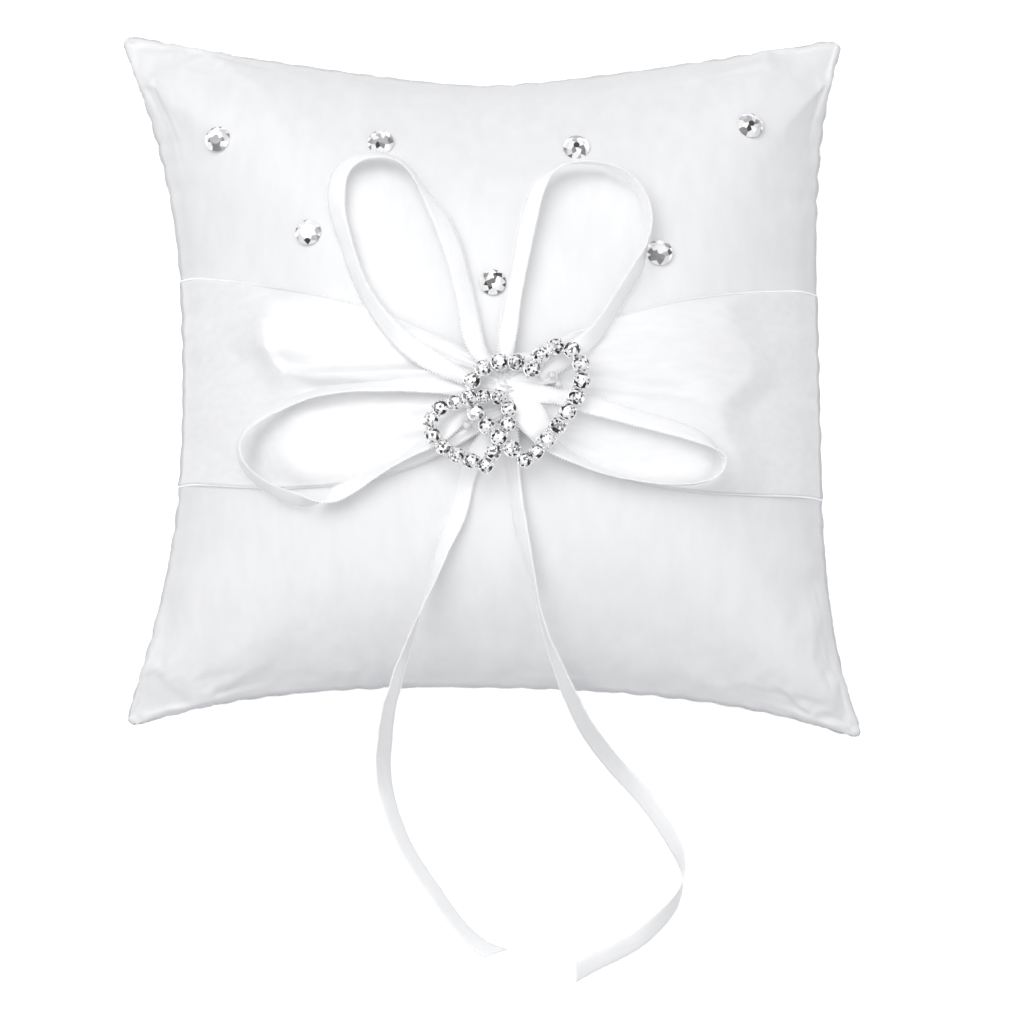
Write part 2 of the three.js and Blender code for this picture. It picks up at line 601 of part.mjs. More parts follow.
for (const [name, [x, y]] of Object.entries(CRYSTAL_PLACES)) {
  const crystal = addPart(name, crystalGeometry(), 'crystal');
  const normal = frontNormal(x, y);
  crystal.quaternion.setFromUnitVectors(UP, normal);
  crystal.position.copy(frontAbove(x, y).addScaledVector(normal, GAP + 0.1));
}

export default pillow;
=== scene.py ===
"""Looks of the ring bearer pillow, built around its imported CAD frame, in metres and in that frame."""

import math

import bpy
import numpy as np
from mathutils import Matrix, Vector
from mathutils.bvhtree import BVHTree


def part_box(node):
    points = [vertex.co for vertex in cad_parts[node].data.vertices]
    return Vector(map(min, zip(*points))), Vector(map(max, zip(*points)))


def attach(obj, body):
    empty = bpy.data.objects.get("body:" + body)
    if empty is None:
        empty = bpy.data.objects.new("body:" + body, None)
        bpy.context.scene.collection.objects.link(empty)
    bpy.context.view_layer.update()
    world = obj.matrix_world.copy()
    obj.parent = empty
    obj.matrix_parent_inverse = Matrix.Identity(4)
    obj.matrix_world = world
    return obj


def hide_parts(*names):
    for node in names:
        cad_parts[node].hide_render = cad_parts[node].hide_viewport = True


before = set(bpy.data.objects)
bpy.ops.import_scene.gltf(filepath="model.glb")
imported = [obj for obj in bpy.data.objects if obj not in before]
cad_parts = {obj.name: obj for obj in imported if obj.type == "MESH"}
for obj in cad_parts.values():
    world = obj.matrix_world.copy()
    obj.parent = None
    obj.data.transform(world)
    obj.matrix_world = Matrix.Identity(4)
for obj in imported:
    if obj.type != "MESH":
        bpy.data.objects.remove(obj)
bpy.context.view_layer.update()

UP = np.array((0.0, 0.0, 1.0))

# The camera looks down at the pillow from its front edge.
CAMERA_TARGET = (0.00625, -0.0389, 0.030)
CAMERA_DISTANCE = 2.2
CAMERA_ELEVATION = 80
CAMERA_SENSOR = 36
CAMERA_LENS = 279.2

# The cover: its four corners on the seam, how far each side pulls in between them (depth, power,
# softness), and how far each face stands off the seam.
CORNERS = {
    "top_left": (-0.102, 0.0985, 0.018),
    "top_right": (0.099, 0.098, 0.018),
    "bottom_left": (-0.0995, -0.095, 0.012),
    "bottom_right": (0.102, -0.0985, 0.012),
}
SIDE_PULL = {
    "left": (0.0155, 2.5, 1.3),
    "right": (0.009, 3.5, 1.0),
    "top": (0.0155, 1.4, 1.0),
    "bottom": (0.009, 2.3, 1.0),
}
COVER_HALF = 0.095
SEAM_HEIGHT = 0.027
FRONT_RISE = 0.037
BACK_DROP = 0.034

# The ribbon: 6 mm wide satin, pinched to 3.6 mm where it goes into the knot.
RIBBON_WIDTH = 0.006
RIBBON_WIDTH_AT_KNOT = 0.0036
RIBBON_TAPER_LENGTH = 0.014
RIBBON_THICKNESS = 0.0003
# What the two selvedges take of the width, and how far the middle stands over the edges.
RIBBON_EDGE_ROOM = 0.0006
RIBBON_CAMBER = 0.00022
RIBBON_CAMBER_AT_KNOT = 0.0011
SELVEDGE_PITCH = 0.00066
# How much further one edge of each tail runs than the other at its slanting cut end.
TAIL_CUTS = {"tail_left": 0.0052, "tail_right": 0.0027}
CUT_REACH = 0.012
# Half the length, width and height of one small loop of thread on a woven edge.
SELVEDGE_LOOP = (0.00021, 0.00036, 0.0003)
SASH_EDGE_LOOP = (0.0002, 0.00036, 0.0003)
SEAM_STITCH = (0.00098, 0.0002, 0.00022)
STITCH_RADIUS = 0.00022

LOOP_ROUTES = {
    "loop_upper_left": [
        (0.0005, -0.006, 0.0706, 5), (-0.0033, -0.0009, 0.0706, 8), (-0.0063, 0.0129, 0.0699, 30),
        (-0.0089, 0.0237, 0.0688, 30), (-0.0109, 0.0301, 0.0678, 28), (-0.0132, 0.0359, 0.0666, 38),
        (-0.0163, 0.0418, 0.0652, 55), (-0.0194, 0.0475, 0.0636, 70), (-0.0232, 0.0526, 0.062, 72),
        (-0.0273, 0.0551, 0.0609, 66), (-0.0323, 0.0557, 0.0602, 62), (-0.0375, 0.0542, 0.0599, 52),
        (-0.041, 0.0506, 0.0599, 38), (-0.0422, 0.0446, 0.0604, 30), (-0.0414, 0.0376, 0.0612, 44),
        (-0.0395, 0.0313, 0.0622, 54), (-0.0375, 0.0243, 0.0632, 57), (-0.0353, 0.0188, 0.0643, 57),
        (-0.0323, 0.0129, 0.0656, 55), (-0.0285, 0.0073, 0.067, 45), (-0.0232, 0.0014, 0.0686, 28),
        (-0.0156, -0.0042, 0.0704, 8), (-0.0055, -0.0096, 0.0712, 0),
    ],
    "loop_upper_right": [
        (0.0046, -0.006, 0.0694, 0), (0.0046, -0.0008, 0.0699, -8), (0.0056, 0.0073, 0.0699, -30),
        (0.0065, 0.0135, 0.0697, -38), (0.0084, 0.0237, 0.0689, -37), (0.0095, 0.03, 0.068, -33),
        (0.0108, 0.0361, 0.0671, -33), (0.0123, 0.042, 0.0659, -43), (0.0142, 0.047, 0.0648, -50),
        (0.0167, 0.0503, 0.0638, -66), (0.0203, 0.0523, 0.0628, -77), (0.0255, 0.0531, 0.0619, -84),
        (0.0316, 0.0525, 0.0615, -90), (0.0373, 0.0496, 0.0616, -100), (0.0417, 0.0448, 0.062, -106),
        (0.0437, 0.039, 0.0627, -106), (0.044, 0.0335, 0.0636, -100), (0.043, 0.0279, 0.0647, -82),
        (0.0408, 0.0227, 0.0658, -62), (0.038, 0.0179, 0.0666, -58), (0.035, 0.0128, 0.0674, -58),
        (0.0319, 0.0077, 0.0681, -55), (0.0281, 0.0028, 0.0687, -42), (0.0224, -0.002, 0.0693, -20),
        (0.0134, -0.0086, 0.0696, -5),
    ],
    "loop_lower_left": [
        (-0.0048, -0.0126, 0.0692, 5), (-0.0134, -0.0108, 0.0692, 25), (-0.0216, -0.0104, 0.0686, 38),
        (-0.0298, -0.0106, 0.0676, 50), (-0.038, -0.0108, 0.0661, 58), (-0.0449, -0.0114, 0.0646, 58),
        (-0.0504, -0.0125, 0.063, 58), (-0.0559, -0.0144, 0.0612, 58), (-0.0614, -0.0167, 0.0594, 58),
        (-0.0658, -0.0196, 0.0578, 66), (-0.0687, -0.0238, 0.0564, 76), (-0.0683, -0.0287, 0.0558, 80),
        (-0.0655, -0.033, 0.0562, 76), (-0.0611, -0.0366, 0.057, 70), (-0.0558, -0.0395, 0.0584, 64),
        (-0.0509, -0.0411, 0.0596, 66), (-0.047, -0.0414, 0.0608, 95), (-0.0424, -0.0398, 0.0618, 140),
        (-0.0369, -0.0372, 0.063, 140), (-0.0311, -0.0343, 0.0646, 122), (-0.0265, -0.0318, 0.066, 116),
        (-0.0202, -0.0283, 0.0673, 125), (-0.0131, -0.0238, 0.0685, 158),
        (-0.005, -0.0168, 0.0696, 178),
    ],
    "loop_lower_right": [
        (0.0128, -0.0128, 0.0698, -5), (0.0188, -0.0138, 0.0697, -8), (0.027, -0.0159, 0.0692, -14),
        (0.0335, -0.0176, 0.0684, -22), (0.0395, -0.0192, 0.0674, -27), (0.0458, -0.0206, 0.0662, -30),
        (0.0521, -0.0222, 0.0648, -34), (0.0576, -0.024, 0.0634, -48), (0.0616, -0.0263, 0.0622, -70),
        (0.0642, -0.0294, 0.0614, -98), (0.0636, -0.0327, 0.061, -102), (0.0612, -0.0351, 0.0611, -98),
        (0.0571, -0.0365, 0.0616, -95), (0.0516, -0.0371, 0.0624, -97), (0.0445, -0.0367, 0.0638, -101),
        (0.036, -0.0352, 0.0657, -110), (0.0291, -0.0332, 0.067, -119), (0.0223, -0.0304, 0.0682, -125),
        (0.0163, -0.0267, 0.069, -150), (0.0102, -0.0198, 0.0696, -177),
    ],
}
TAIL_ROUTES = {
    "tail_left": [
        (0.0016, -0.0206, 0.0692, 5), (-0.0018, -0.0265, 0.067, 12), (-0.0058, -0.0332, 0.064, 24),
        (-0.0085, -0.0445, 0.0619, 28), (-0.0131, -0.0557, 0.0608, 50), (-0.0153, -0.0624, 0.0597, 66),
        (-0.018, -0.069, 0.0577, 82), (-0.0197, -0.0734, 0.0558, 92), (-0.0213, -0.0777, 0.0534, 100),
        (-0.023, -0.0817, 0.0503, 105), (-0.0246, -0.0856, 0.046, 111), (-0.026, -0.0895, 0.04, 115),
        (-0.0273, -0.0928, 0.033, 119), (-0.0284, -0.0968, 0.0245, 125), (-0.0291, -0.1012, 0.016, 131),
        (-0.0295, -0.1058, 0.009, 135), (-0.0293, -0.1103, 0.0048, 138),
        (-0.0286, -0.1145, 0.0029, 138), (-0.0266, -0.1212, 0.0028, 138),
        (-0.0238, -0.1279, 0.0028, 138), (-0.0199, -0.1347, 0.0028, 138),
        (-0.0152, -0.1414, 0.0028, 138), (-0.0107, -0.1481, 0.0028, 138),
        (-0.0063, -0.1532, 0.0028, 140), (-0.0016, -0.157, 0.0027, 144), (0.0043, -0.1595, 0.0024, 150),
    ],
    "tail_right": [
        (0.0058, -0.0206, 0.0692, 5), (0.006, -0.0265, 0.0673, 22), (0.0062, -0.0334, 0.0648, 42),
        (0.0079, -0.0447, 0.0632, 52), (0.0103, -0.0558, 0.0617, 66), (0.0124, -0.0649, 0.0597, 82),
        (0.0133, -0.0691, 0.0584, 85), (0.0144, -0.0735, 0.0566, 83), (0.0158, -0.0778, 0.0542, 79),
        (0.0175, -0.0818, 0.051, 73), (0.0193, -0.0856, 0.0465, 67), (0.0213, -0.0895, 0.0405, 61),
        (0.0233, -0.0928, 0.033, 57), (0.026, -0.0969, 0.0245, 53), (0.0296, -0.1011, 0.0158, 47),
        (0.0335, -0.1052, 0.009, 42), (0.0375, -0.1091, 0.005, 38), (0.0428, -0.1145, 0.0028, 34),
        (0.0478, -0.1212, 0.0027, 34), (0.0516, -0.1278, 0.003, 45), (0.0536, -0.1336, 0.0035, 70),
        (0.0538, -0.1384, 0.0037, 90), (0.052, -0.1436, 0.0036, 110), (0.0485, -0.1482, 0.0033, 130),
        (0.0415, -0.1544, 0.0028, 146), (0.0352, -0.158, 0.0026, 150), (0.0282, -0.1614, 0.0026, 150),
        (0.0229, -0.1645, 0.0026, 150),
    ],
}
LARGE_HEART_ARCS = [
    ((0.0117, -0.0072), (0.0132, -0.0005), (0.0246, 0.003), (0.0254, -0.0082)),
    ((0.0254, -0.0082), (0.0259, -0.015), (0.017, -0.0255), (0.0103, -0.033)),
    ((0.0103, -0.033), (0.005, -0.0275), (-0.006, -0.0205), (-0.0054, -0.0135)),
    ((-0.0054, -0.0135), (-0.005, -0.006), (0.005, -0.0026), (0.0117, -0.0072)),
]
SMALL_HEART_ARCS = [
    ((-0.005, -0.017), (-0.004, -0.0138), (0.0058, -0.0128), (0.0056, -0.02)),
    ((0.0056, -0.02), (0.0054, -0.0245), (0.0015, -0.029), (-0.001, -0.0342)),
    ((-0.001, -0.0342), (-0.0045, -0.0323), (-0.0163, -0.03), (-0.0159, -0.0223)),
    ((-0.0159, -0.0223), (-0.0156, -0.0175), (-0.008, -0.015), (-0.005, -0.017)),
]

# The cloth simulation that fills the cover, the shape of its corners and its small folds.
COVER_DIVISIONS = 96
SIM_FRAMES = 22
CLOTH_EASE = 0.025
CLOTH_PRESSURE = 3.5
COVER_MOVE_CAP = 0.004
WRINKLE_REACH = 0.012
SMOOTHING_TURNS = 60
CORNER_TRIM = 0.0024
CORNER_TRIM_POWER = 55
CORNER_REACH_POWER = 8
# How far each tip is drawn out past the cut of its panels, by its sides of u and v: along x and along y.
CORNER_REACH = {
    (-1, 1): (0.0025, 0.0018),
    (1, 1): (0.0012, 0.0006),
    (-1, -1): (0.0024, 0.0027),
    (1, -1): (0.0028, 0.0024),
}
# Gathers, creases and scallops at the seam: how far apart, how high, and how far in they reach.
PUCKER_PITCH = 0.0071
PUCKER_HEIGHT = 0.00052
PUCKER_REACH = 0.0045
CREASE_PITCH = 0.0175
CREASE_HEIGHT = 0.00062
CREASE_REACH = 0.016
CREASE_START = 0.005
SCALLOP_DEPTH = 0.00045
SEAM_HALF = 0.1

# The sash, from left seam to right seam, drawn in at the knot.
KNOT = (0.004, -0.013)
# The gathering thread: where each turn lies beside the knot's middle, and half its seen length.
GATHER_TURNS = (-0.0011, -0.0003, 0.0005, 0.0013)
GATHER_HALF_LENGTH = 0.0068
SASH_HALF_WIDTH = 0.0292
SASH_WAIST_SHARE = 0.2
SASH_SPREAD_LENGTH = 0.038
SASH_END_RISE = {"left": 0.0107, "right": 0.0073}
SASH_END_DISTANCE = 0.09
SASH_CURVE_POWER = 2.2
SASH_THICKNESS = 0.00028
# How far it stands off the cover: away from the knot, what the knot adds, and at the least.
SASH_LIFT = 0.0009
SASH_KNOT_LIFT = 0.003
SASH_LEAST_LIFT = 0.0003
SASH_KNOT_REACH = 0.018
SASH_GATHER_REACH = 0.021
SASH_SEWN_SHARE = 0.07
SASH_COLUMNS = 360
SASH_ROWS = 84
# Gathers that fan out from the knot: place across the sash from -1 to 1, width and height.
SASH_GATHERS = (
    (-0.82, 0.09, 0.0013),
    (-0.5, 0.08, 0.0019),
    (-0.2, 0.09, 0.0015),
    (0.12, 0.07, 0.0020),
    (0.42, 0.09, 0.0014),
    (0.66, 0.06, 0.0018),
    (0.9, 0.07, 0.0012),
)
# Puffs: where each starts, its height, the length over which it drops back to the cover, and the line
# along which it is highest, as pairs of y and x.
SASH_PUFFS = (
    (
        -0.044, 0.0042, 0.017,
        ((-0.001, -0.055), (0.003, -0.06), (0.008, -0.0625), (0.014, -0.0625), (0.021, -0.058)),
    ),
    (
        -0.038, 0.0032, 0.013,
        ((-0.036, -0.048), (-0.03, -0.0555), (-0.023, -0.058), (-0.013, -0.053)),
    ),
    (
        0.032, 0.0026, 0.012,
        (
            (-0.04, 0.0715), (-0.0265, 0.0695), (-0.0192, 0.0645), (-0.0143, 0.063), (-0.0095, 0.068),
            (-0.004, 0.074), (0.002, 0.0735), (0.008, 0.068), (0.013, 0.0655), (0.026, 0.066),
        ),
    ),
)
PUFF_EDGE = 0.004
CREST_EASE = 0.0022
# Folds: height, width to the left, width to the right, the share of the length over which it fades out,
# and the route as pairs of x and y.
SASH_FOLDS = (
    (
        0.0026, 0.004, 0.0016, 0.3,
        (
            (-0.01, -0.0075), (-0.0244, -0.0064), (-0.0392, -0.0064), (-0.0503, -0.0058),
            (-0.0566, -0.0046), (-0.0594, -0.0016), (-0.0617, 0.0062), (-0.0637, 0.0134),
        ),
    ),
    (
        -0.0016, 0.003, 0.002, 0.3,
        ((-0.0105, -0.0098), (-0.0299, -0.0095), (-0.0489, -0.0087), (-0.0625, -0.0033)),
    ),
    (
        0.0016, 0.0012, 0.003, 0.4,
        ((-0.01, -0.0062), (-0.0162, -0.0013), (-0.0244, 0.0045), (-0.0354, 0.0133)),
    ),
    (
        -0.0018, 0.0035, 0.0011, 0.25,
        ((0.01, -0.0105), (0.0303, -0.01), (0.0413, -0.011), (0.062, -0.0119)),
    ),
    (0.002, 0.0012, 0.0035, 0.3, ((0.0073, -0.004), (0.014, 0.0012), (0.0268, 0.0066))),
)

# The knot: laps of ribbon (middle, heading, length, width, height, arch, bow) and stitches.
KNOT_LAPS = (
    ((0.0075, -0.0072), 0.12, 0.0225, 0.0100, 0.0690, 0.0008, 0.0005),
    ((0.0108, -0.0190), -0.95, 0.0150, 0.0085, 0.0701, 0.0006, 0.0004),
    ((0.0090, -0.0127), -0.13, 0.0190, 0.0054, 0.0698, 0.0008, 0.0004),
)
KNOT_STITCHES = (
    ((0.0030, -0.0110), (0.0062, -0.0116)),
    ((0.0034, -0.0132), (0.0066, -0.0124)),
    ((0.0044, -0.0102), (0.0052, -0.0140)),
)
STITCH_HEIGHT = 0.0713
# Drops of glue: middle, radius and height.
GLUE_BASE = 0.0709
GLUE_DROPS = (
    ((0.0172, -0.0082), 0.0010, 0.0007),
    ((0.0190, -0.0108), 0.0009, 0.0006),
    ((-0.0060, -0.0222), 0.0012, 0.0009),
)

# The double heart: cubic arcs (start, handle, handle, end) from each heart's notch.
HEART_BASE = 0.073
HEART_STEPS = 150
RAIL_WIDTH = 0.0026
RAIL_THICKNESS = 0.0009
# A stone's cup: shares of the stone's radius, and heights over the rail's foot. A prong's line adds its
# own thickness.
CUP_PROFILE = (
    (0.45, 0.0001),
    (0.92, 0.0002),
    (1.0, 0.0007),
    (1.1, 0.0012),
    (1.07, 0.00145),
    (0.9, 0.00125),
    (0.4, 0.0011),
)
PRONG_LINE = (
    (1.06, 0.001, 0.00034),
    (1.13, 0.0016, 0.00036),
    (1.08, 0.0021, 0.00036),
    (0.95, 0.00235, 0.00033),
    (0.82, 0.0023, 0.0002),
)
LARGE_STONE_RADIUS = 0.0022
SMALL_STONE_RADIUS = 0.002
STONE_SHARE_OF_PITCH = 0.492
CRYSTAL_RADIUS = 0.00365
CRYSTAL_HEIGHT = 0.0024
# Each crystal's painted reflections: the tone painted on its middle, the eight ways round its table and the
# eight ways round its crown, from the right and counter-clockwise, by the letters of these tones.
FOIL_TONE = 0.75
PAINTED_REFLECTION_TONES = {"w": 0.98, "p": 0.8, "m": 0.5, "g": 0.28, "d": 0.05}
CRYSTAL_PAINTED_FLASHES = {
    "crystal_top_left": ("g", "pwwwgggg", "ppwwppgw"),
    "crystal_top_mid_left": ("m", "mwmwmdgm", "gwpwgwww"),
    "crystal_top_mid_right": ("d", "wwmwwgwg", "wwgwwpwg"),
    "crystal_top_right": ("d", "gpmmwdwp", "mwpmwgww"),
    "crystal_mid_left": ("w", "wwwwwwww", "mwwwpwdm"),
    "crystal_mid_right": ("w", "wwwwgggm", "dgwwgggw"),
    "crystal_centre": ("d", "wdwmddww", "wdwgwwww"),
}

# Studio light: a large soft source above and a little behind to the left, and weaker fill.
WORLD_HIGH = (0.98, 0.985, 1.0)
WORLD_SIDE = (0.48, 0.485, 0.505)
WORLD_LOW = (0.36, 0.37, 0.42)
WORLD_STRENGTH = 0.8
LIGHTS = (
    ("key_softbox", (-0.46, 0.38, 1.5), (0, 0, 0.05), (1.2, 1.2), 12.6),
    ("fill_softbox", (0.9, -0.4, 1.2), (0, 0, 0.05), (0.9, 0.9), 2),
)
stone_names = sorted(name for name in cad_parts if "_heart_stone_" in name)


def mix(a, b, share):
    return a + (b - a) * share


def unit(vectors):
    return vectors / np.linalg.norm(vectors, axis=-1, keepdims=True)


def level_way(turn):
    """The level direction at an angle from x."""
    return np.array((math.cos(turn), math.sin(turn), 0.0))


def eased_step(value, low, high):
    """Rises smoothly from 0 at low to 1 at high."""
    share = np.clip((value - low) / (high - low), 0, 1)
    return share * share * (3 - 2 * share)


def distances(line):
    """How far along a line each of its points lies."""
    return np.concatenate([[0.0], np.cumsum(np.linalg.norm(np.diff(line, axis=0), axis=1))])


def at_places(line, gone, places):
    """Points of a line at the given distances along it."""
    return np.stack([np.interp(places, gone, column) for column in line.T], axis=-1)


def surface_tree(points, faces):
    return BVHTree.FromPolygons([Vector(p) for p in points], [tuple(map(int, f)) for f in faces])


def add_object(name, vertices, faces, smooth=True):
    """A new mesh object from lists of points and faces."""
    mesh = bpy.data.meshes.new(name)
    mesh.from_pydata([tuple(v) for v in vertices], [], [tuple(f) for f in faces])
    mesh.polygons.foreach_set("use_smooth", [smooth] * len(mesh.polygons))
    mesh.update()
    obj = bpy.data.objects.new(name, mesh)
    bpy.context.scene.collection.objects.link(obj)
    return obj


def finish_piece(obj, material, slot, *nodes):
    """Gives a piece its material, makes it ride on the part and stand for its CAD nodes; its slot is not
    used.
    """
    if material:
        obj.data.materials.clear()
        obj.data.materials.append(material)
    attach(obj, "root")
    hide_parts(*nodes)


def paint_woven(obj, cloth, band_faces):
    """Cloth on a piece's first faces and selvedge on the others."""
    obj.data.materials.append(cloth)
    obj.data.materials.append(SELVEDGE)
    slots = [0] * band_faces + [1] * (len(obj.data.polygons) - band_faces)
    obj.data.polygons.foreach_set("material_index", slots)


def set_uv(obj, uv):
    """Gives each face corner the u and v of its vertex."""
    corners = np.empty(len(obj.data.loops), int)
    obj.data.loops.foreach_get("vertex_index", corners)
    obj.data.uv_layers.new(name="UVMap").data.foreach_set("uv", uv[corners].ravel())


class Shape:
    """Gathers the vertices and faces of one piece made of many small bodies."""

    def __init__(self):
        self.vertices = []
        self.faces = []

    def add(self, vertices, faces):
        start = len(self.vertices)
        self.vertices.extend([tuple(v) for v in vertices])
        self.faces.extend([tuple(start + k for k in face) for face in faces])

    def add_tube(self, rings, closed_path=False):
        """Rings of equally many points, joined in turn, with flat ends unless the path closes on itself."""
        count = len(rings)
        size = len(rings[0])
        faces = []
        for i in range(count if closed_path else count - 1):
            here = i * size
            there = (i + 1) % count * size
            for j in range(size):
                after = (j + 1) % size
                faces.append((here + j, here + after, there + after, there + j))
        if not closed_path:
            faces.append(tuple(reversed(range(size))))
            faces.append(tuple((count - 1) * size + j for j in range(size)))
        self.add([p for ring in rings for p in ring], faces)


def catmull_rom(points, steps):
    """Even points on a smooth centripetal curve through the given rows, which may hold extra values."""
    rows = np.asarray(points, float)
    padded = np.vstack([2 * rows[0] - rows[1], rows, 2 * rows[-1] - rows[-2]])
    fine = []
    for i in range(1, len(padded) - 2):
        p0, p1, p2, p3 = padded[i - 1 : i + 3]
        t0 = 0.0
        t1 = t0 + math.sqrt(np.linalg.norm((p1 - p0)[:3]))
        t2 = t1 + math.sqrt(np.linalg.norm((p2 - p1)[:3]))
        t3 = t2 + math.sqrt(np.linalg.norm((p3 - p2)[:3]))
        for t in np.linspace(t1, t2, 24, endpoint=False):
            a1 = (t1 - t) / (t1 - t0) * p0 + (t - t0) / (t1 - t0) * p1
            a2 = (t2 - t) / (t2 - t1) * p1 + (t - t1) / (t2 - t1) * p2
            a3 = (t3 - t) / (t3 - t2) * p2 + (t - t2) / (t3 - t2) * p3
            b1 = (t2 - t) / (t2 - t0) * a1 + (t - t0) / (t2 - t0) * a2
            b2 = (t3 - t) / (t3 - t1) * a2 + (t - t1) / (t3 - t1) * a3
            fine.append((t2 - t) / (t2 - t1) * b1 + (t - t1) / (t2 - t1) * b2)
    fine.append(padded[-2])
    fine = np.array(fine)
    gone = distances(fine[:, :3])
    return at_places(fine, gone, np.linspace(0, gone[-1], steps + 1)), gone[-1]


def wander(places, period, seed, octaves=3):
    """A smooth irregular value from -1 to 1 along a line, the same at each run."""
    value = np.zeros_like(places, float)
    total = 0.0
    for k in range(octaves):
        share = 0.6**k
        turn = 2 * math.pi * places / period * (1.0 + 0.83 * k)
        value += share * np.sin(turn + seed * 1.7 + 2.4 * k + 0.9 * np.sin(turn * 0.37 + seed))
        total += share
    return value / total


# -- Materials ----------------------------------------------------------------

# Where most values of a noise lie.
NOISE_LOW = 0.3
NOISE_HIGH = 0.7
THREAD_DEPTH = 0.00005


def new_material(name):
    material = bpy.data.materials.new(name)
    material.use_nodes = True
    tree = material.node_tree
    return material, tree, tree.nodes["Principled BSDF"]


def set_inputs(node, values):
    for name, value in values.items():
        node.inputs[name].default_value = value


def add_noise(tree, scale, detail=2.0, source="Object"):
    """A noise stretched by its three scales, in features per metre."""
    coordinates = tree.nodes.get("Texture Coordinate") or tree.nodes.new("ShaderNodeTexCoord")
    mapping = tree.nodes.new("ShaderNodeMapping")
    mapping.inputs["Scale"].default_value = scale
    tree.links.new(coordinates.outputs[source], mapping.inputs["Vector"])
    noise = tree.nodes.new("ShaderNodeTexNoise")
    set_inputs(noise, {"Scale": 1.0, "Detail": detail, "Roughness": 0.55})
    tree.links.new(mapping.outputs["Vector"], noise.inputs["Vector"])
    return noise.outputs["Fac"]


def add_range(tree, value, low, high):
    """Spreads the middle of a noise, where most of its values lie, over low to high."""
    spread = tree.nodes.new("ShaderNodeMapRange")
    set_inputs(spread, {"From Min": NOISE_LOW, "From Max": NOISE_HIGH, "To Min": low, "To Max": high})
    tree.links.new(value, spread.inputs["Value"])
    return spread.outputs["Result"]


def add_blend(tree, value, dark, light):
    """A colour between dark and light, by the middle of a noise."""
    ramp = tree.nodes.new("ShaderNodeValToRGB")
    for stop, position, colour in zip(ramp.color_ramp.elements, (NOISE_LOW, NOISE_HIGH), (dark, light)):
        stop.position = position
        stop.color = (*colour, 1)
    tree.links.new(value, ramp.inputs["Fac"])
    return ramp.outputs["Color"]


def add_bumps(tree, shader, layers):
    """Stacks bump layers of (height, strength, depth in metres) on a shader's normal."""
    last = None
    for height, strength, depth in layers:
        bump = tree.nodes.new("ShaderNodeBump")
        set_inputs(bump, {"Strength": strength, "Distance": depth})
        tree.links.new(height, bump.inputs["Height"])
        if last:
            tree.links.new(last, bump.inputs["Normal"])
        last = bump.outputs["Normal"]
    tree.links.new(last, shader.inputs["Normal"])


def satin(name, dark, light, roughness, shine, scales, weave_depth, source="Object"):
    """Woven satin: long floats that catch the light, fine threads across them, and a soft uneven sheen.

    The three scales are those of the floats, of the threads and of the unevenness.
    """
    material, tree, shader = new_material(name)
    floats = add_noise(tree, scales[0], 2.0, source)
    threads = add_noise(tree, scales[1], 1.0, source)
    mottle = add_noise(tree, scales[2], 2.0, source)
    tree.links.new(add_blend(tree, mottle, dark, light), shader.inputs["Base Color"])
    tree.links.new(add_range(tree, mottle, *roughness), shader.inputs["Roughness"])
    set_inputs(shader, {"Specular IOR Level": shine, "Sheen Weight": 0.12, "Sheen Roughness": 0.4})
    layers = [(mottle, 0.2, 2 * weave_depth), (floats, 0.2, weave_depth), (threads, 0.14, THREAD_DEPTH)]
    add_bumps(tree, shader, layers)
    return material


def thread_material():
    """Twisted polyester sewing thread."""
    material, tree, shader = new_material("sewing_thread")
    twist = add_noise(tree, (2600, 2600, 2600))
    tree.links.new(add_blend(tree, twist, (0.78, 0.78, 0.8), (0.9, 0.9, 0.91)), shader.inputs["Base Color"])
    shader.inputs["Roughness"].default_value = 0.5
    add_bumps(tree, shader, [(twist, 0.5, 0.00008)])
    return material


def silver_material():
    """Bright silver plate over a cast setting, with faint casting ripples and duller patches."""
    material, tree, shader = new_material("silver_plate_metal")
    ripples = add_noise(tree, (900, 900, 900))
    patches = add_noise(tree, (260, 260, 260), 3.0)
    colour = add_blend(tree, patches, (0.88, 0.88, 0.89), (0.98, 0.98, 0.98))
    tree.links.new(colour, shader.inputs["Base Color"])
    tree.links.new(add_range(tree, patches, 0.12, 0.26), shader.inputs["Roughness"])
    shader.inputs["Metallic"].default_value = 0.8
    add_bumps(tree, shader, [(ripples, 0.3, 0.0001)])
    return material


def stone_material():
    """Foil-backed cut glass under a clear polish, with painted reflections: each facet's colour is a painted
    piece of light or dark.
    """
    material, tree, shader = new_material("clear_stone_glass")
    facet = tree.nodes.new("ShaderNodeAttribute")
    facet.attribute_name = "painted_facet_reflection"
    flaws = add_noise(tree, (1500, 1500, 1500))
    tree.links.new(facet.outputs["Color"], shader.inputs["Base Color"])
    tree.links.new(add_range(tree, flaws, 0.03, 0.12), shader.inputs["Roughness"])
    set_inputs(shader, {"Metallic": 0.25, "Coat Weight": 0.3, "Coat Roughness": 0.02})
    return material


def clear_glue_material():
    """The hardened clear glue that holds the double heart."""
    material, tree, shader = new_material("clear_glue")
    ripples = add_noise(tree, (1200, 1200, 1200))
    colour = add_blend(tree, ripples, (0.8, 0.8, 0.81), (0.93, 0.93, 0.93))
    tree.links.new(colour, shader.inputs["Base Color"])
    set_inputs(shader, {"Roughness": 0.06, "Transmission Weight": 0.2, "IOR": 1.45})
    add_bumps(tree, shader, [(ripples, 0.5, 0.0002)])
    return material


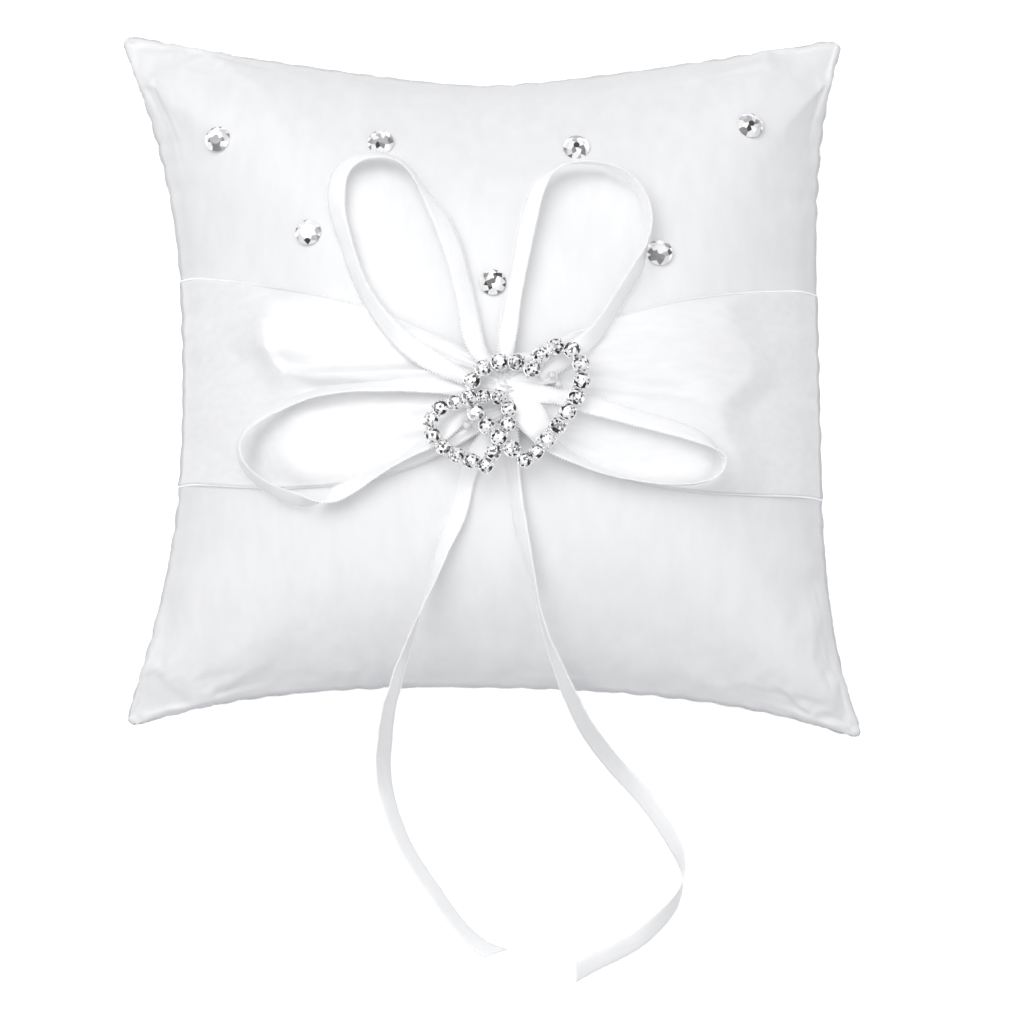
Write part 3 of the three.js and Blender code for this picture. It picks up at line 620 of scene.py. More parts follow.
COVER_SATIN = satin(
    "cover_satin_cloth",
    (0.835, 0.836, 0.842),
    (0.87, 0.87, 0.874),
    (0.42, 0.52),
    0.45,
    ((2300, 620, 2300), (620, 4200, 620), (230, 80, 230)),
    0.00008,
)
SASH_SATIN = satin(
    "sash_satin_cloth",
    (0.865, 0.865, 0.872),
    (0.905, 0.905, 0.908),
    (0.285, 0.34),
    0.65,
    ((700, 4200, 4200), (3600, 900, 900), (120, 420, 420)),
    0.00003,
)
RIBBON_SATIN = satin(
    "ribbon_satin_cloth",
    (0.9, 0.9, 0.905),
    (0.94, 0.94, 0.942),
    (0.28, 0.38),
    0.58,
    ((300, 2600, 1), (3000, 500, 1), (160, 700, 1)),
    0.00006,
    "UV",
)
SELVEDGE = satin(
    "selvedge_thread",
    (0.92, 0.92, 0.92),
    (0.97, 0.97, 0.97),
    (0.35, 0.5),
    0.5,
    ((2600, 2600, 2600), (3600, 3600, 3600), (700, 700, 700)),
    0.00008,
)
# Painted light: a faint glow on the ribbon and a stronger one on its edge threads lift the ribbon's shade and
# make the edge threads brighter than their surroundings.
for painted_glow_material, strength in ((RIBBON_SATIN, 0.035), (SELVEDGE, 0.14)):
    painted_glow_shader = painted_glow_material.node_tree.nodes["Principled BSDF"]
    set_inputs(painted_glow_shader, {"Emission Color": (1, 1, 1, 1), "Emission Strength": strength})
THREAD = thread_material()
SILVER = silver_material()
STONE = stone_material()
GLUE = clear_glue_material()


# -- The camera ---------------------------------------------------------------


def add_camera():
    """A long lens looking down at the pillow from its front edge."""
    data = bpy.data.cameras.new("camera")
    data.sensor_width = CAMERA_SENSOR
    data.lens = CAMERA_LENS
    data.clip_start = 0.1
    data.clip_end = 20
    camera = bpy.data.objects.new("camera", data)
    bpy.context.scene.collection.objects.link(camera)
    rise = math.radians(CAMERA_ELEVATION)
    back = Vector((0, -math.cos(rise), math.sin(rise)))
    camera.location = Vector(CAMERA_TARGET) + back * CAMERA_DISTANCE
    camera.rotation_mode = "QUATERNION"
    camera.rotation_quaternion = (-back).to_track_quat("-Z", "Y")
    bpy.context.scene.camera = camera


add_camera()


# -- Bow loops and tails ------------------------------------------------------


def bead(centre, along, across, face, sizes):
    """A small rounded lump of thread, long way along the edge it is woven on."""
    half_length, half_width, half_height = sizes
    points = [centre - along * half_length]
    for share in (-0.5, 0.5):
        middle = centre + along * half_length * share
        for k in range(6):
            turn = math.pi * k / 3
            side = across * half_width * math.cos(turn) + face * half_height * math.sin(turn)
            points.append(middle + side * 0.9)
    points.append(centre + along * half_length)
    faces = [(0, 1 + (k + 1) % 6, 1 + k) for k in range(6)]
    faces += [(1 + k, 1 + (k + 1) % 6, 7 + (k + 1) % 6, 7 + k) for k in range(6)]
    faces += [(13, 7 + k, 7 + (k + 1) % 6) for k in range(6)]
    return points, faces


def ribbon_frames(route, step):
    """Even points along a route with the ribbon's directions at each: along it, across it and out of its
    face, then how far its face looks up, and the whole length."""
    _, length = catmull_rom(route, 10)
    rows, length = catmull_rom(route, max(8, round(length / step)))
    centre = rows[:, :3]
    along = unit(np.gradient(centre, axis=0))
    level = unit(np.cross(UP, along))
    raised = np.cross(along, level)
    lean = np.radians(rows[:, 3])[:, None]
    across = level * np.cos(lean) + raised * np.sin(lean)
    return centre, along, across, np.cross(along, across), np.cos(np.radians(rows[:, 3])), length


def ribbon_piece(name, route, pinched_ends, cut=0.0):
    """One length of satin ribbon: a thin cambered band with a woven selvedge of small loops down both edges.

    A cut end slants: the band's right edge stops short of its left one by the cut.
    """
    centre, along, across, face, upright, length = ribbon_frames(route, 0.0008)
    count = len(centre)
    places = np.linspace(0, length, count)
    to_knot = np.min([np.abs(places - end * length) for end in pinched_ends], axis=0)
    opened = eased_step(to_knot, 0, RIBBON_TAPER_LENGTH)
    half = mix(RIBBON_WIDTH_AT_KNOT, RIBBON_WIDTH - RIBBON_EDGE_ROOM, opened) / 2
    gutter = mix(RIBBON_CAMBER_AT_KNOT, RIBBON_CAMBER, opened) * upright
    seed = sum(ord(letter) for letter in name) % 17
    ripple = 0.00008 * wander(places, 0.013, seed)
    columns = np.linspace(-1, 1, 11)
    shape = Shape()
    rings = []
    slant = np.clip((places - length + CUT_REACH) / CUT_REACH, 0, 1)
    for i in range(count):
        arch = gutter[i] * (1 - columns**2) + ripple[i] * columns
        short = np.outer(slant[i] * cut * (1 + columns) / 2, along[i])
        top = centre[i] - short + np.outer(columns * half[i], across[i]) + np.outer(arch, face[i])
        thick = RIBBON_THICKNESS * (1 - 0.5 * columns**8)
        upper = top + np.outer(thick / 2, face[i])
        lower = top - np.outer(thick / 2, face[i])
        rings.append(list(upper) + list(lower[::-1]))
    shape.add_tube(rings)
    band_faces = len(shape.faces)
    for side in (-1, 1):
        for place in np.arange(SELVEDGE_PITCH / 2, length - cut * (1 + side) / 2, SELVEDGE_PITCH):
            i = min(count - 1, int(round(place / length * (count - 1))))
            edge = centre[i] + across[i] * side * (half[i] + 0.00014) + side * ripple[i] * face[i]
            shape.add(*bead(edge, along[i], across[i], face[i], SELVEDGE_LOOP))
    obj = add_object(name, shape.vertices, shape.faces)
    size = 2 * len(columns)
    uv = np.zeros((len(shape.vertices), 2))
    for i in range(count):
        for j in range(size):
            uv[i * size + j] = (places[i], (j if j < len(columns) else size - 1 - j) * 0.0006)
    set_uv(obj, uv)
    paint_woven(obj, RIBBON_SATIN, band_faces)
    path = centre[np.linspace(0, count - 1, 61).astype(int)].tolist()
    return obj, path, length


def add_ribbons():
    """The four bow loops, which go back into the knot, and the two tails, whose cut ends lie on the table."""
    for name, route in LOOP_ROUTES.items():
        obj, path, length = ribbon_piece(name + "_ribbon", route, (0, 1))
        finish_piece(obj, None, "ribbon_satin", name)
    for name, route in TAIL_ROUTES.items():
        obj, path, length = ribbon_piece(name + "_ribbon", route, (0,), TAIL_CUTS[name])
        finish_piece(obj, None, "ribbon_satin", name)


add_ribbons()


# -- The stuffed cover --------------------------------------------------------


def side_pull(side, w):
    depth, power, softness = SIDE_PULL[side]
    return depth * np.maximum(0, 1 - np.abs(w) ** power) ** softness


def between(first, last, axis, w):
    """A value of two corners, and of the places between them as w runs from -1 to 1."""
    return mix(CORNERS[first][axis], CORNERS[last][axis], (w + 1) / 2)


def left_x(v):
    return between("bottom_left", "top_left", 0, v) + side_pull("left", v)


def right_x(v):
    return between("bottom_right", "top_right", 0, v) - side_pull("right", v)


def bottom_y(u):
    return between("bottom_left", "bottom_right", 1, u) + side_pull("bottom", u)


def top_y(u):
    return between("top_left", "top_right", 1, u) - side_pull("top", u)


def seam_height(u, v):
    low = between("bottom_left", "bottom_right", 2, u)
    high = between("top_left", "top_right", 2, u)
    return mix(SEAM_HEIGHT, mix(low, high, (v + 1) / 2), np.abs(u * v) ** 3)


def cover_point(u, v, rise, fullness=1.0):
    """A point of the cover: u and v run from -1 to 1 between seams, and rise is how far the face bulges."""
    x = mix(left_x(v), right_x(v), (u + 1) / 2)
    y = mix(bottom_y(u), top_y(u), (v + 1) / 2)
    crown = np.sqrt(np.maximum(0, 1 - u * u) * np.maximum(0, 1 - v * v))
    z = np.maximum(0, seam_height(u, v) + rise * fullness * crown)
    return np.stack([x, y, z], axis=-1)


def grid_places(divisions):
    """Places from -1 to 1, closer together towards the seams."""
    even = np.linspace(-1, 1, divisions + 1)
    return 0.45 * even + 0.55 * np.sin(even * math.pi / 2)


def joined_panels(front, back):
    """One closed mesh from two square grids of points that share their outer edge: its vertices and faces."""
    size = len(front)
    front_index = np.arange(size * size).reshape(size, size)
    back_index = front_index.copy()
    inner = size - 2
    back_index[1:-1, 1:-1] = size * size + np.arange(inner * inner).reshape(inner, inner)
    faces = []
    for i in range(size - 1):
        for j in range(size - 1):
            a, b = front_index[i, j], front_index[i + 1, j]
            c, d = front_index[i + 1, j + 1], front_index[i, j + 1]
            faces.append((a, b, c, d))
            a, b = back_index[i, j], back_index[i, j + 1]
            c, d = back_index[i + 1, j + 1], back_index[i + 1, j]
            faces.append((a, b, c, d))
    return np.vstack([front.reshape(-1, 3), back[1:-1, 1:-1].reshape(-1, 3)]), faces


def split_panels(vertices, size):
    """The two square grids of points back out of a joined mesh's vertices."""
    front = vertices[: size * size].reshape(size, size, 3)
    back = front.copy()
    back[1:-1, 1:-1] = vertices[size * size :].reshape(size - 2, size - 2, 3)
    return front, back


def blown_up(vertices, faces, seam):
    """The cloth as stuffing fills it: sewn along the seam, cut a little large, and pushed out from inside."""
    obj = add_object("cover_cloth_sim", vertices, faces)
    pinned = obj.vertex_groups.new(name="seam")
    pinned.add([int(k) for k in seam], 1.0, "REPLACE")
    cloth = obj.modifiers.new("Cloth", "CLOTH")
    cloth.point_cache.frame_start = 1
    cloth.point_cache.frame_end = SIM_FRAMES
    settings = cloth.settings
    settings.quality = 6
    settings.mass = 0.15
    settings.tension_stiffness = 40
    settings.compression_stiffness = 25
    settings.shear_stiffness = 8
    settings.bending_stiffness = 0.12
    settings.shrink_min = -CLOTH_EASE
    settings.use_pressure = True
    settings.uniform_pressure_force = CLOTH_PRESSURE
    settings.vertex_group_mass = "seam"
    settings.pin_stiffness = 1
    settings.effector_weights.gravity = 0
    cloth.collision_settings.use_collision = False
    scene = bpy.context.scene
    for moment in range(1, SIM_FRAMES + 1):
        scene.frame_set(moment)
    swollen = obj.evaluated_get(bpy.context.evaluated_depsgraph_get()).to_mesh()
    moved = np.empty(len(vertices) * 3)
    swollen.vertices.foreach_get("co", moved)
    bpy.data.objects.remove(obj)
    scene.frame_set(1)
    return moved.reshape(-1, 3)


def smoothed(grid, turns):
    """A grid of vectors evened out with its neighbours, with its outer edge held."""
    grid = grid.copy()
    for _ in range(turns):
        grid[1:-1] = (grid[:-2] + 2 * grid[1:-1] + grid[2:]) / 4
        grid[:, 1:-1] = (grid[:, :-2] + 2 * grid[:, 1:-1] + grid[:, 2:]) / 4
    return grid


def eased(shift, u, v):
    """How the cloth moved, with its wrinkles kept near the seam and smoothed away over the stuffed middle."""
    inward = COVER_HALF * (1 - np.maximum(np.abs(u), np.abs(v)))[..., None]
    return mix(smoothed(shift, SMOOTHING_TURNS), shift, np.exp(-((inward / WRINKLE_REACH) ** 2)))


def doubled_line(rows):
    """The same smooth line with a row between every two."""
    finer = np.empty((2 * len(rows) - 1, *rows.shape[1:]))
    finer[::2] = rows
    wide = np.concatenate([2 * rows[:1] - rows[1:2], rows, 2 * rows[-1:] - rows[-2:-1]])
    finer[1::2] = (9 * (wide[1:-2] + wide[2:-1]) - wide[:-3] - wide[3:]) / 16
    return finer


def doubled(grid):
    """The same smooth surface with a point between every two, along both of its sides."""
    return np.swapaxes(doubled_line(np.swapaxes(doubled_line(grid), 0, 1)), 0, 1)


def grid_normals(grid):
    """The outward direction at each point of a square grid that faces up."""
    ahead = np.gradient(grid, axis=0)
    aside = np.gradient(grid, axis=1)
    normal = np.cross(ahead, aside)
    return normal / np.maximum(np.linalg.norm(normal, axis=-1, keepdims=True), 1e-12)


def seam_puckers(u, v, face_seed):
    """How far the cloth stands out: small gathers where the seam draws it up, and longer soft creases."""
    out = np.zeros_like(u)
    for k, (across, along) in enumerate(((1 - u, v), (1 + u, v), (1 - v, u), (1 + v, u))):
        inward = across * COVER_HALF
        place = along * COVER_HALF
        seed = 3.1 * k + face_seed
        jitter = 0.0022 * wander(place, 0.047, seed)
        small = np.abs(np.sin(math.pi * (place + jitter) / PUCKER_PITCH)) - 0.6
        strength = 0.55 + 0.45 * wander(place, 0.061, seed + 1)
        out += PUCKER_HEIGHT * strength * small * np.exp(-inward / PUCKER_REACH)
        slant = place + (0.16 * wander(place, 0.08, seed + 2)) * inward
        long = np.sin(2 * math.pi * (slant + 0.004 * wander(slant, 0.09, seed + 3)) / CREASE_PITCH)
        depth = 0.5 + 0.5 * wander(place, 0.052, seed + 4)
        grown = (inward / CREASE_START) * np.exp(1 - inward / CREASE_START)
        out += CREASE_HEIGHT * depth * long * np.minimum(1, grown) * np.exp(-inward / CREASE_REACH)
    return out


def seam_scallops(front, back):
    """Draws the seam line in and out a little between stitches, on the shared edge of both panels."""
    places = np.linspace(-1, 1, len(front)) * SEAM_HALF
    shift = SCALLOP_DEPTH * (np.abs(np.sin(math.pi * places / PUCKER_PITCH + 0.7)) - 0.64)
    taper = 1 - np.abs(places / SEAM_HALF) ** 12
    for side, (line, out) in enumerate(
        (
            ((0, slice(None)), (-1, 0, 0)),
            ((-1, slice(None)), (1, 0, 0)),
            ((slice(None), 0), (0, -1, 0)),
            ((slice(None), -1), (0, 1, 0)),
        )
    ):
        strength = taper * (0.7 + 0.3 * wander(places, 0.05, side))
        height = 0.0005 * taper * wander(places, 0.021, side + 5)
        move = np.outer(shift * strength, out) + np.outer(height, UP)
        front[line] += move
        back[line] += move


def filled_panels(front, back, u, v):
    """Both panels as the simulated stuffing leaves them, each point held to a few millimetres of movement."""
    vertices, faces = joined_panels(front, back)
    edge = np.ones(u.shape, bool)
    edge[1:-1, 1:-1] = False
    shift = blown_up(vertices, faces, np.flatnonzero(edge.ravel())) - vertices
    distance = np.linalg.norm(shift, axis=1, keepdims=True)
    shift *= COVER_MOVE_CAP / (COVER_MOVE_CAP + distance)
    front_shift, back_shift = split_panels(shift, len(front))
    return front + eased(front_shift, u, v), back + eased(back_shift, u, v)


def draw_out_tips(panels, u, v):
    """Draws each corner out past the cut of its panels, and rounds its tip."""
    tip = np.abs(u * v)
    for (side_u, side_v), reach in CORNER_REACH.items():
        here = (np.sign(u) == side_u) & (np.sign(v) == side_v)
        for axis, side in enumerate((side_u, side_v)):
            drawn = reach[axis] * tip**CORNER_REACH_POWER - CORNER_TRIM * tip**CORNER_TRIM_POWER
            for panel in panels:
                panel[..., axis] += side * here * drawn


def add_cover():
    """The satin cover, front and back in one closed form, blown up by simulation and puckered at its seam."""
    places = grid_places(COVER_DIVISIONS)
    u, v = np.meshgrid(places, places, indexing="ij")
    front = cover_point(u, v, FRONT_RISE, 0.985)
    back = cover_point(u, v, -BACK_DROP, 0.985)
    front, back = filled_panels(front, back, u, v)
    front, back = doubled(front), doubled(back)
    fine_places = doubled_line(places)
    fine_u, fine_v = np.meshgrid(fine_places, fine_places, indexing="ij")
    draw_out_tips((front, back), fine_u, fine_v)
    front = front + grid_normals(front) * seam_puckers(fine_u, fine_v, 0.0)[..., None]
    back = back - grid_normals(back) * seam_puckers(fine_u, fine_v, 5.0)[..., None]
    seam_scallops(front, back)
    back[..., 2] = np.maximum(back[..., 2], 0)
    front[..., 2] = np.maximum(front[..., 2], 0)
    vertices, faces = joined_panels(front, back)
    obj = add_object("satin_cover", vertices, faces)
    finish_piece(obj, COVER_SATIN, "cover_satin", "front_panel", "back_panel", "filling")
    return front, fine_places, surface_tree(vertices, faces)


front_grid, front_places, cover_tree = add_cover()
front_normals = grid_normals(front_grid)


def on_front(u, v):
    """Points of the finished front panel at any u and v, with their outward directions."""
    size = len(front_grid)
    i = np.interp(u, front_places, np.arange(size))
    j = np.interp(v, front_places, np.arange(size))
    low_i = np.clip(i.astype(int), 0, size - 2)
    low_j = np.clip(j.astype(int), 0, size - 2)
    part_i = (i - low_i)[..., None]
    part_j = (j - low_j)[..., None]
    found = []
    for table in (front_grid, front_normals):
        near = mix(table[low_i, low_j], table[low_i, low_j + 1], part_j)
        far = mix(table[low_i + 1, low_j], table[low_i + 1, low_j + 1], part_j)
        found.append(mix(near, far, part_i))
    return found[0], unit(found[1])


def front_uv(x, y):
    """The u and v of the cover under a point, found by turns."""
    u = np.zeros_like(x)
    v = np.zeros_like(x)
    for _ in range(20):
        u = np.clip(2 * (x - left_x(v)) / (right_x(v) - left_x(v)) - 1, -1, 1)
        v = np.clip(2 * (y - bottom_y(u)) / (top_y(u) - bottom_y(u)) - 1, -1, 1)
    return u, v


def seam_line(count):
    """Even points round the seam, where the two panels meet."""
    sides = (front_grid[:-1, 0], front_grid[-1, :-1], front_grid[:0:-1, -1], front_grid[0, :0:-1])
    ring = np.concatenate([*sides, front_grid[:1, 0]])
    gone = distances(ring)
    return at_places(ring, gone, np.linspace(0, gone[-1], count, endpoint=False))


def add_seam_thread():
    """Small sewing stitches sunk in the seam all round the cover."""
    line = seam_line(340)
    along = unit(np.roll(line, -1, axis=0) - np.roll(line, 1, axis=0))
    outward = unit(np.cross(along, UP))
    shape = Shape()
    for k in range(len(line)):
        centre = line[k] - outward[k] * 0.00008
        shape.add(*bead(centre, along[k], outward[k], np.cross(along[k], outward[k]), SEAM_STITCH))
    obj = add_object("seam_stitches", shape.vertices, shape.faces)
    finish_piece(obj, THREAD, "thread", "seam_thread")


add_seam_thread()


# -- The sash -----------------------------------------------------------------


def beside(x, y, route):
    """How far each point lies to the left of a polyline, and how far along it, from 0 to 1."""
    gone = distances(route)
    lengths = np.diff(gone)
    best = np.full(x.shape, 1e9)
    sign = np.ones(x.shape)
    share = np.zeros(x.shape)
    for k in range(len(lengths)):
        way = (route[k + 1] - route[k]) / lengths[k]
        dx, dy = x - route[k][0], y - route[k][1]
        on = np.clip(dx * way[0] + dy * way[1], 0, lengths[k])
        off_x, off_y = dx - on * way[0], dy - on * way[1]
        away = np.hypot(off_x, off_y)
        nearer = away < best
        best = np.where(nearer, away, best)
        sign = np.where(nearer, np.where(way[0] * off_y - way[1] * off_x >= 0, 1, -1), sign)
        share = np.where(nearer, (gone[k] + on) / gone[-1], share)
    return best * sign, share


def fold_height(x, y, height, left_width, right_width, fade, route):
    """A ridge or a trough along a route, steeper on its narrower side, that fades out at its far end."""
    away, share = beside(x, y, np.array(route))
    width = np.where(away > 0, left_width, right_width)
    return height * np.exp(-((away / width) ** 2)) * eased_step(1 - share, 0, fade)


def puff_height(x, y, start, height, drop, crest):
    """A puff that slopes up from its start to its highest line, then eases back down to the cover."""
    ys, xs = np.array(crest).T
    out = np.abs(x) * (np.sign(x) == np.sign(start))
    fold = np.abs(sum(np.interp(y + step * CREST_EASE, ys, xs) for step in (-1, 0, 1)) / 3)
    climb = np.clip((out - abs(start)) / (fold - abs(start)), 0, 1.1)
    rise = climb * (1 - eased_step(out, fold - 0.2 * drop, fold + 0.8 * drop))
    sides = eased_step(y, ys[0] - PUFF_EDGE, ys[0] + PUFF_EDGE)
    sides = sides * (1 - eased_step(y, ys[-1] - PUFF_EDGE, ys[-1] + PUFF_EDGE))
    return height * rise * sides


def sash_lift(x, y, t, away):
    """How far the sash stands off the cover, by its puffs, the gathers that fan out and its folds."""
    near = np.exp(-((away / SASH_KNOT_REACH) ** 2))
    lift = SASH_LIFT + SASH_KNOT_LIFT * near
    fan = 0.0
    for place, width, height in SASH_GATHERS:
        fan = fan + height * np.exp(-(((t - place) / width) ** 2))
    lift += fan * np.exp(-((away / SASH_GATHER_REACH) ** 2)) * (1 - 0.5 * near)
    for puff in SASH_PUFFS:
        lift += puff_height(x, y, *puff) * (1 - np.abs(t) ** 9)
    for fold in SASH_FOLDS:
        lift += fold_height(x, y, *fold)
    return np.maximum(lift, SASH_LEAST_LIFT)


def sash_rows():
    """The sash's surface: a grid of points, along it from left to right and up across it."""
    u = np.linspace(-1, 1, SASH_COLUMNS + 1)
    u = 0.8 * u + 0.2 * np.sin(u * math.pi / 2)
    t = np.linspace(-1, 1, SASH_ROWS + 1)
    u, t = np.meshgrid(u, t, indexing="ij")
    v = np.zeros_like(u)
    for _ in range(12):
        x = mix(left_x(v), right_x(v), (u + 1) / 2)
        away = np.abs(x - KNOT[0])
        rise = np.where(x < KNOT[0], SASH_END_RISE["left"], SASH_END_RISE["right"])
        middle = KNOT[1] + rise * (away / SASH_END_DISTANCE) ** SASH_CURVE_POWER
        half = SASH_HALF_WIDTH * mix(SASH_WAIST_SHARE, 1, np.tanh(away / SASH_SPREAD_LENGTH))
        y = middle + t * half
        v = np.clip(2 * (y - bottom_y(u)) / (top_y(u) - bottom_y(u)) - 1, -1, 1)
    surface, normal = on_front(u, v)
    lift = mix(SASH_LEAST_LIFT, sash_lift(x, y, t, away), eased_step(1 - np.abs(u), 0, SASH_SEWN_SHARE))
    return surface + unit(smoothed(normal, 3)) * lift[..., None]


def edge_places(line, first, spare):
    """The places of the small loops along a woven edge: the nearest point, the middle and the edge's way."""
    gone = distances(line)
    for place in np.arange(first, gone[-1] - spare, SELVEDGE_PITCH):
        i = min(len(line) - 2, int(np.searchsorted(gone, place)))
        yield i, at_places(line, gone, place), unit(line[i + 1] - line[max(0, i - 1)])


def add_sash():
    """The wide satin sash: sewn into both side seams, drawn in behind the knot and puffed between folds."""
    upper = sash_rows()
    face_out = grid_normals(upper)
    lower = upper - face_out * SASH_THICKNESS
    columns, rows = upper.shape[:2]
    index = np.arange(columns * rows).reshape(columns, rows)
    under = index + columns * rows
    faces = []
    for i in range(columns - 1):
        for j in range(rows - 1):
            faces.append((index[i, j], index[i + 1, j], index[i + 1, j + 1], index[i, j + 1]))
            faces.append((under[i, j], under[i, j + 1], under[i + 1, j + 1], under[i + 1, j]))
    rim = [(i, 0) for i in range(columns)] + [(columns - 1, j) for j in range(1, rows)]
    rim += [(i, rows - 1) for i in range(columns - 2, -1, -1)] + [(0, j) for j in range(rows - 2, 0, -1)]
    for k, here in enumerate(rim):
        there = rim[(k + 1) % len(rim)]
        faces.append((index[there], index[here], under[here], under[there]))
    shape = Shape()
    shape.add(np.vstack([upper.reshape(-1, 3), lower.reshape(-1, 3)]), faces)
    cloth_faces = len(shape.faces)
    for j, side in ((0, -1), (rows - 1, 1)):
        edge = upper[:, j] - face_out[:, j] * SASH_THICKNESS / 2
        upward = unit(upper[:, 1] - upper[:, 0]) if j == 0 else unit(upper[:, -1] - upper[:, -2])
        for i, centre, along in edge_places(edge, 0.0006, 0.0004):
            centre = centre + upward[i] * side * 0.0002
            shape.add(*bead(centre, along, upward[i], face_out[i, j], SASH_EDGE_LOOP))
    obj = add_object("satin_sash", shape.vertices, shape.faces)
    paint_woven(obj, SASH_SATIN, cloth_faces)
    finish_piece(obj, None, "sash_satin", "sash_ribbon")
    return surface_tree(shape.vertices, shape.faces[:cloth_faces])


sash_tree = add_sash()


def height_at(tree, x, y):
    """The height of the top surface of a piece at a place, or None where it isn't."""
    hit = tree.ray_cast(Vector((x, y, 0.2)), Vector((0, 0, -1)))
    return hit[0].z if hit[0] else None


# -- The knot -----------------------------------------------------------------


def add_gather_thread():
    """Turns of thread that draw the sash in, lying over it behind the knot."""
    shape = Shape()
    for turn, offset in enumerate(GATHER_TURNS):
        ys = np.linspace(KNOT[1] - GATHER_HALF_LENGTH, KNOT[1] + GATHER_HALF_LENGTH, 30)
        centres = []
        for y in ys:
            x = KNOT[0] + offset + 0.0004 * math.sin(y * 900 + turn)
            z = height_at(sash_tree, x, y) or height_at(cover_tree, x, y)
            centres.append((x, y, z + 0.00018))
        shape.add_tube(round_rings(np.array(centres), STITCH_RADIUS, 6))
    obj = add_object("gathering_stitches", shape.vertices, shape.faces)
    finish_piece(obj, THREAD, "thread", "gather_thread")


def round_rings(centres, radius, sides):
    """Round sections along a line of points."""
    along = unit(np.gradient(centres, axis=0))
    helper = np.where(np.abs(along[:, 2:3]) > 0.9, (1.0, 0, 0), UP)
    across = unit(np.cross(helper, along))
    face = np.cross(along, across)
    turns = np.arange(sides) * 2 * math.pi / sides
    radius = np.broadcast_to(radius, len(centres))
    return [
        [c + a * r * math.cos(t) + f * r * math.sin(t) for t in turns]
        for c, a, f, r in zip(centres, across, face, radius)
    ]


def knot_strip(shape, centre, heading, length, width, height, arch, bow):
    """A short lap of ribbon over the knot, arched along its length and folded down at both ends.

    It gives back the lines of the lap's two edges.
    """
    way = level_way(heading)
    side = np.array((-way[1], way[0], 0.0))
    columns = np.linspace(-1, 1, 9)
    rings = []
    edges = ([], [])
    for place in np.linspace(-1, 1, 26):
        middle = np.array((centre[0], centre[1], height)) + way * place * length / 2
        middle[2] += arch * (1 - place**2) - 0.0011 * max(0, abs(place) - 0.75) / 0.25
        wide = width / 2 * (0.82 + 0.18 * math.cos(place * 2.4))
        bend = bow * (1 - columns**2) + 0.00012 * np.sin(columns * 5 + place * 3)
        top = middle + np.outer(columns * wide, side) + np.outer(bend, UP)
        rings.append(list(top + UP * 0.00015) + list((top - UP * 0.00015)[::-1]))
        for edge, end in zip(edges, (-1, 1)):
            edge.append(middle + side * end * (wide + 0.00008))
    shape.add_tube(rings)
    return edges


def add_knot():
    """The crossed laps of ribbon over the gathered sash."""
    laps = Shape()
    beads = Shape()
    for spec in KNOT_LAPS:
        for line in knot_strip(laps, *spec):
            for _, centre, along in edge_places(np.array(line), 0.0003, 0):
                across = unit(np.cross(UP, along))
                beads.add(*bead(centre, along, across, np.cross(along, across), SELVEDGE_LOOP))
    lap_faces = len(laps.faces)
    laps.add(beads.vertices, beads.faces)
    obj = add_object("knot_laps", laps.vertices, laps.faces)
    set_uv(obj, np.array(laps.vertices)[:, :2])
    paint_woven(obj, RIBBON_SATIN, lap_faces)
    finish_piece(obj, None, "ribbon_satin", "center_knot")


def add_knot_stitches():
    """A few hand stitches through the middle of the knot."""
    shape = Shape()
    for (x0, y0), (x1, y1) in KNOT_STITCHES:
        steps = np.linspace(0, 1, 12)
        xs, ys = mix(x0, x1, steps), mix(y0, y1, steps)
        zs = STITCH_HEIGHT + 0.0006 * np.sin(steps * math.pi)
        shape.add_tube(round_rings(np.column_stack([xs, ys, zs]), STITCH_RADIUS, 6))
    obj = add_object("knot_stitches", shape.vertices, shape.faces)
    finish_piece(obj, THREAD, "thread")


def add_glue():
    """Clear drops of glue that hold the double heart on the knot."""
    shape = Shape()
    for (x, y), radius, height in GLUE_DROPS:
        around = np.arange(14) * math.pi / 7
        wide = radius * (1 + 0.12 * np.sin(3 * around + x * 900))
        rings = []
        for turn in np.arange(7) / 7 * math.pi / 2:
            xs = x + wide * math.cos(turn) * np.cos(around)
            ys = y + wide * math.cos(turn) * np.sin(around)
            rings.append(np.column_stack([xs, ys, np.full(14, GLUE_BASE + height * math.sin(turn))]))
        shape.add_tube(rings)
    obj = add_object("glue_drops", shape.vertices, shape.faces)
    finish_piece(obj, GLUE, "clear_stone")


# -- The double heart ---------------------------------------------------------


def centre_of(node):
    low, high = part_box(node)
    return np.array((low + high) / 2)


def heart_line(arcs, steps):
    """Even points round a heart, from its notch and back to it."""
    fine = []
    for arc in arcs:
        p0, p1, p2, p3 = np.array(arc)
        for s in np.linspace(0, 1, 40, endpoint=False):
            fine.append((1 - s) ** 3 * p0 + 3 * s * (1 - s) ** 2 * p1 + 3 * s * s * (1 - s) * p2 + s**3 * p3)
    fine.append(fine[0])
    fine = np.array(fine)
    gone = distances(fine)
    return at_places(fine, gone, np.linspace(0, gone[-1], steps, endpoint=False))


def stone_radius(name):
    """A heart stone's radius, held back where its neighbour is close."""
    others = [np.linalg.norm(centre_of(other) - centre_of(name)) for other in stone_names if other != name]
    radius = LARGE_STONE_RADIUS if name.startswith("large") else SMALL_STONE_RADIUS
    return min(radius, STONE_SHARE_OF_PITCH * min(others))


def add_rail(shape, arcs):
    """The cast rail under the stones: low and rounded, following the heart."""
    line = heart_line(arcs, HEART_STEPS)
    along = unit(np.roll(line, -1, axis=0) - np.roll(line, 1, axis=0))
    section = [(-1, 0.1), (-0.85, 0.75), (-0.4, 1), (0.4, 1), (0.85, 0.75), (1, 0.1), (0.8, 0), (-0.8, 0)]
    rings = []
    for (x, y), (dx, dy) in zip(line, along):
        rings.append(
            [
                (x - dy * a * RAIL_WIDTH / 2, y + dx * a * RAIL_WIDTH / 2, HEART_BASE + h * RAIL_THICKNESS)
                for a, h in section
            ]
        )
    shape.add_tube(rings, closed_path=True)


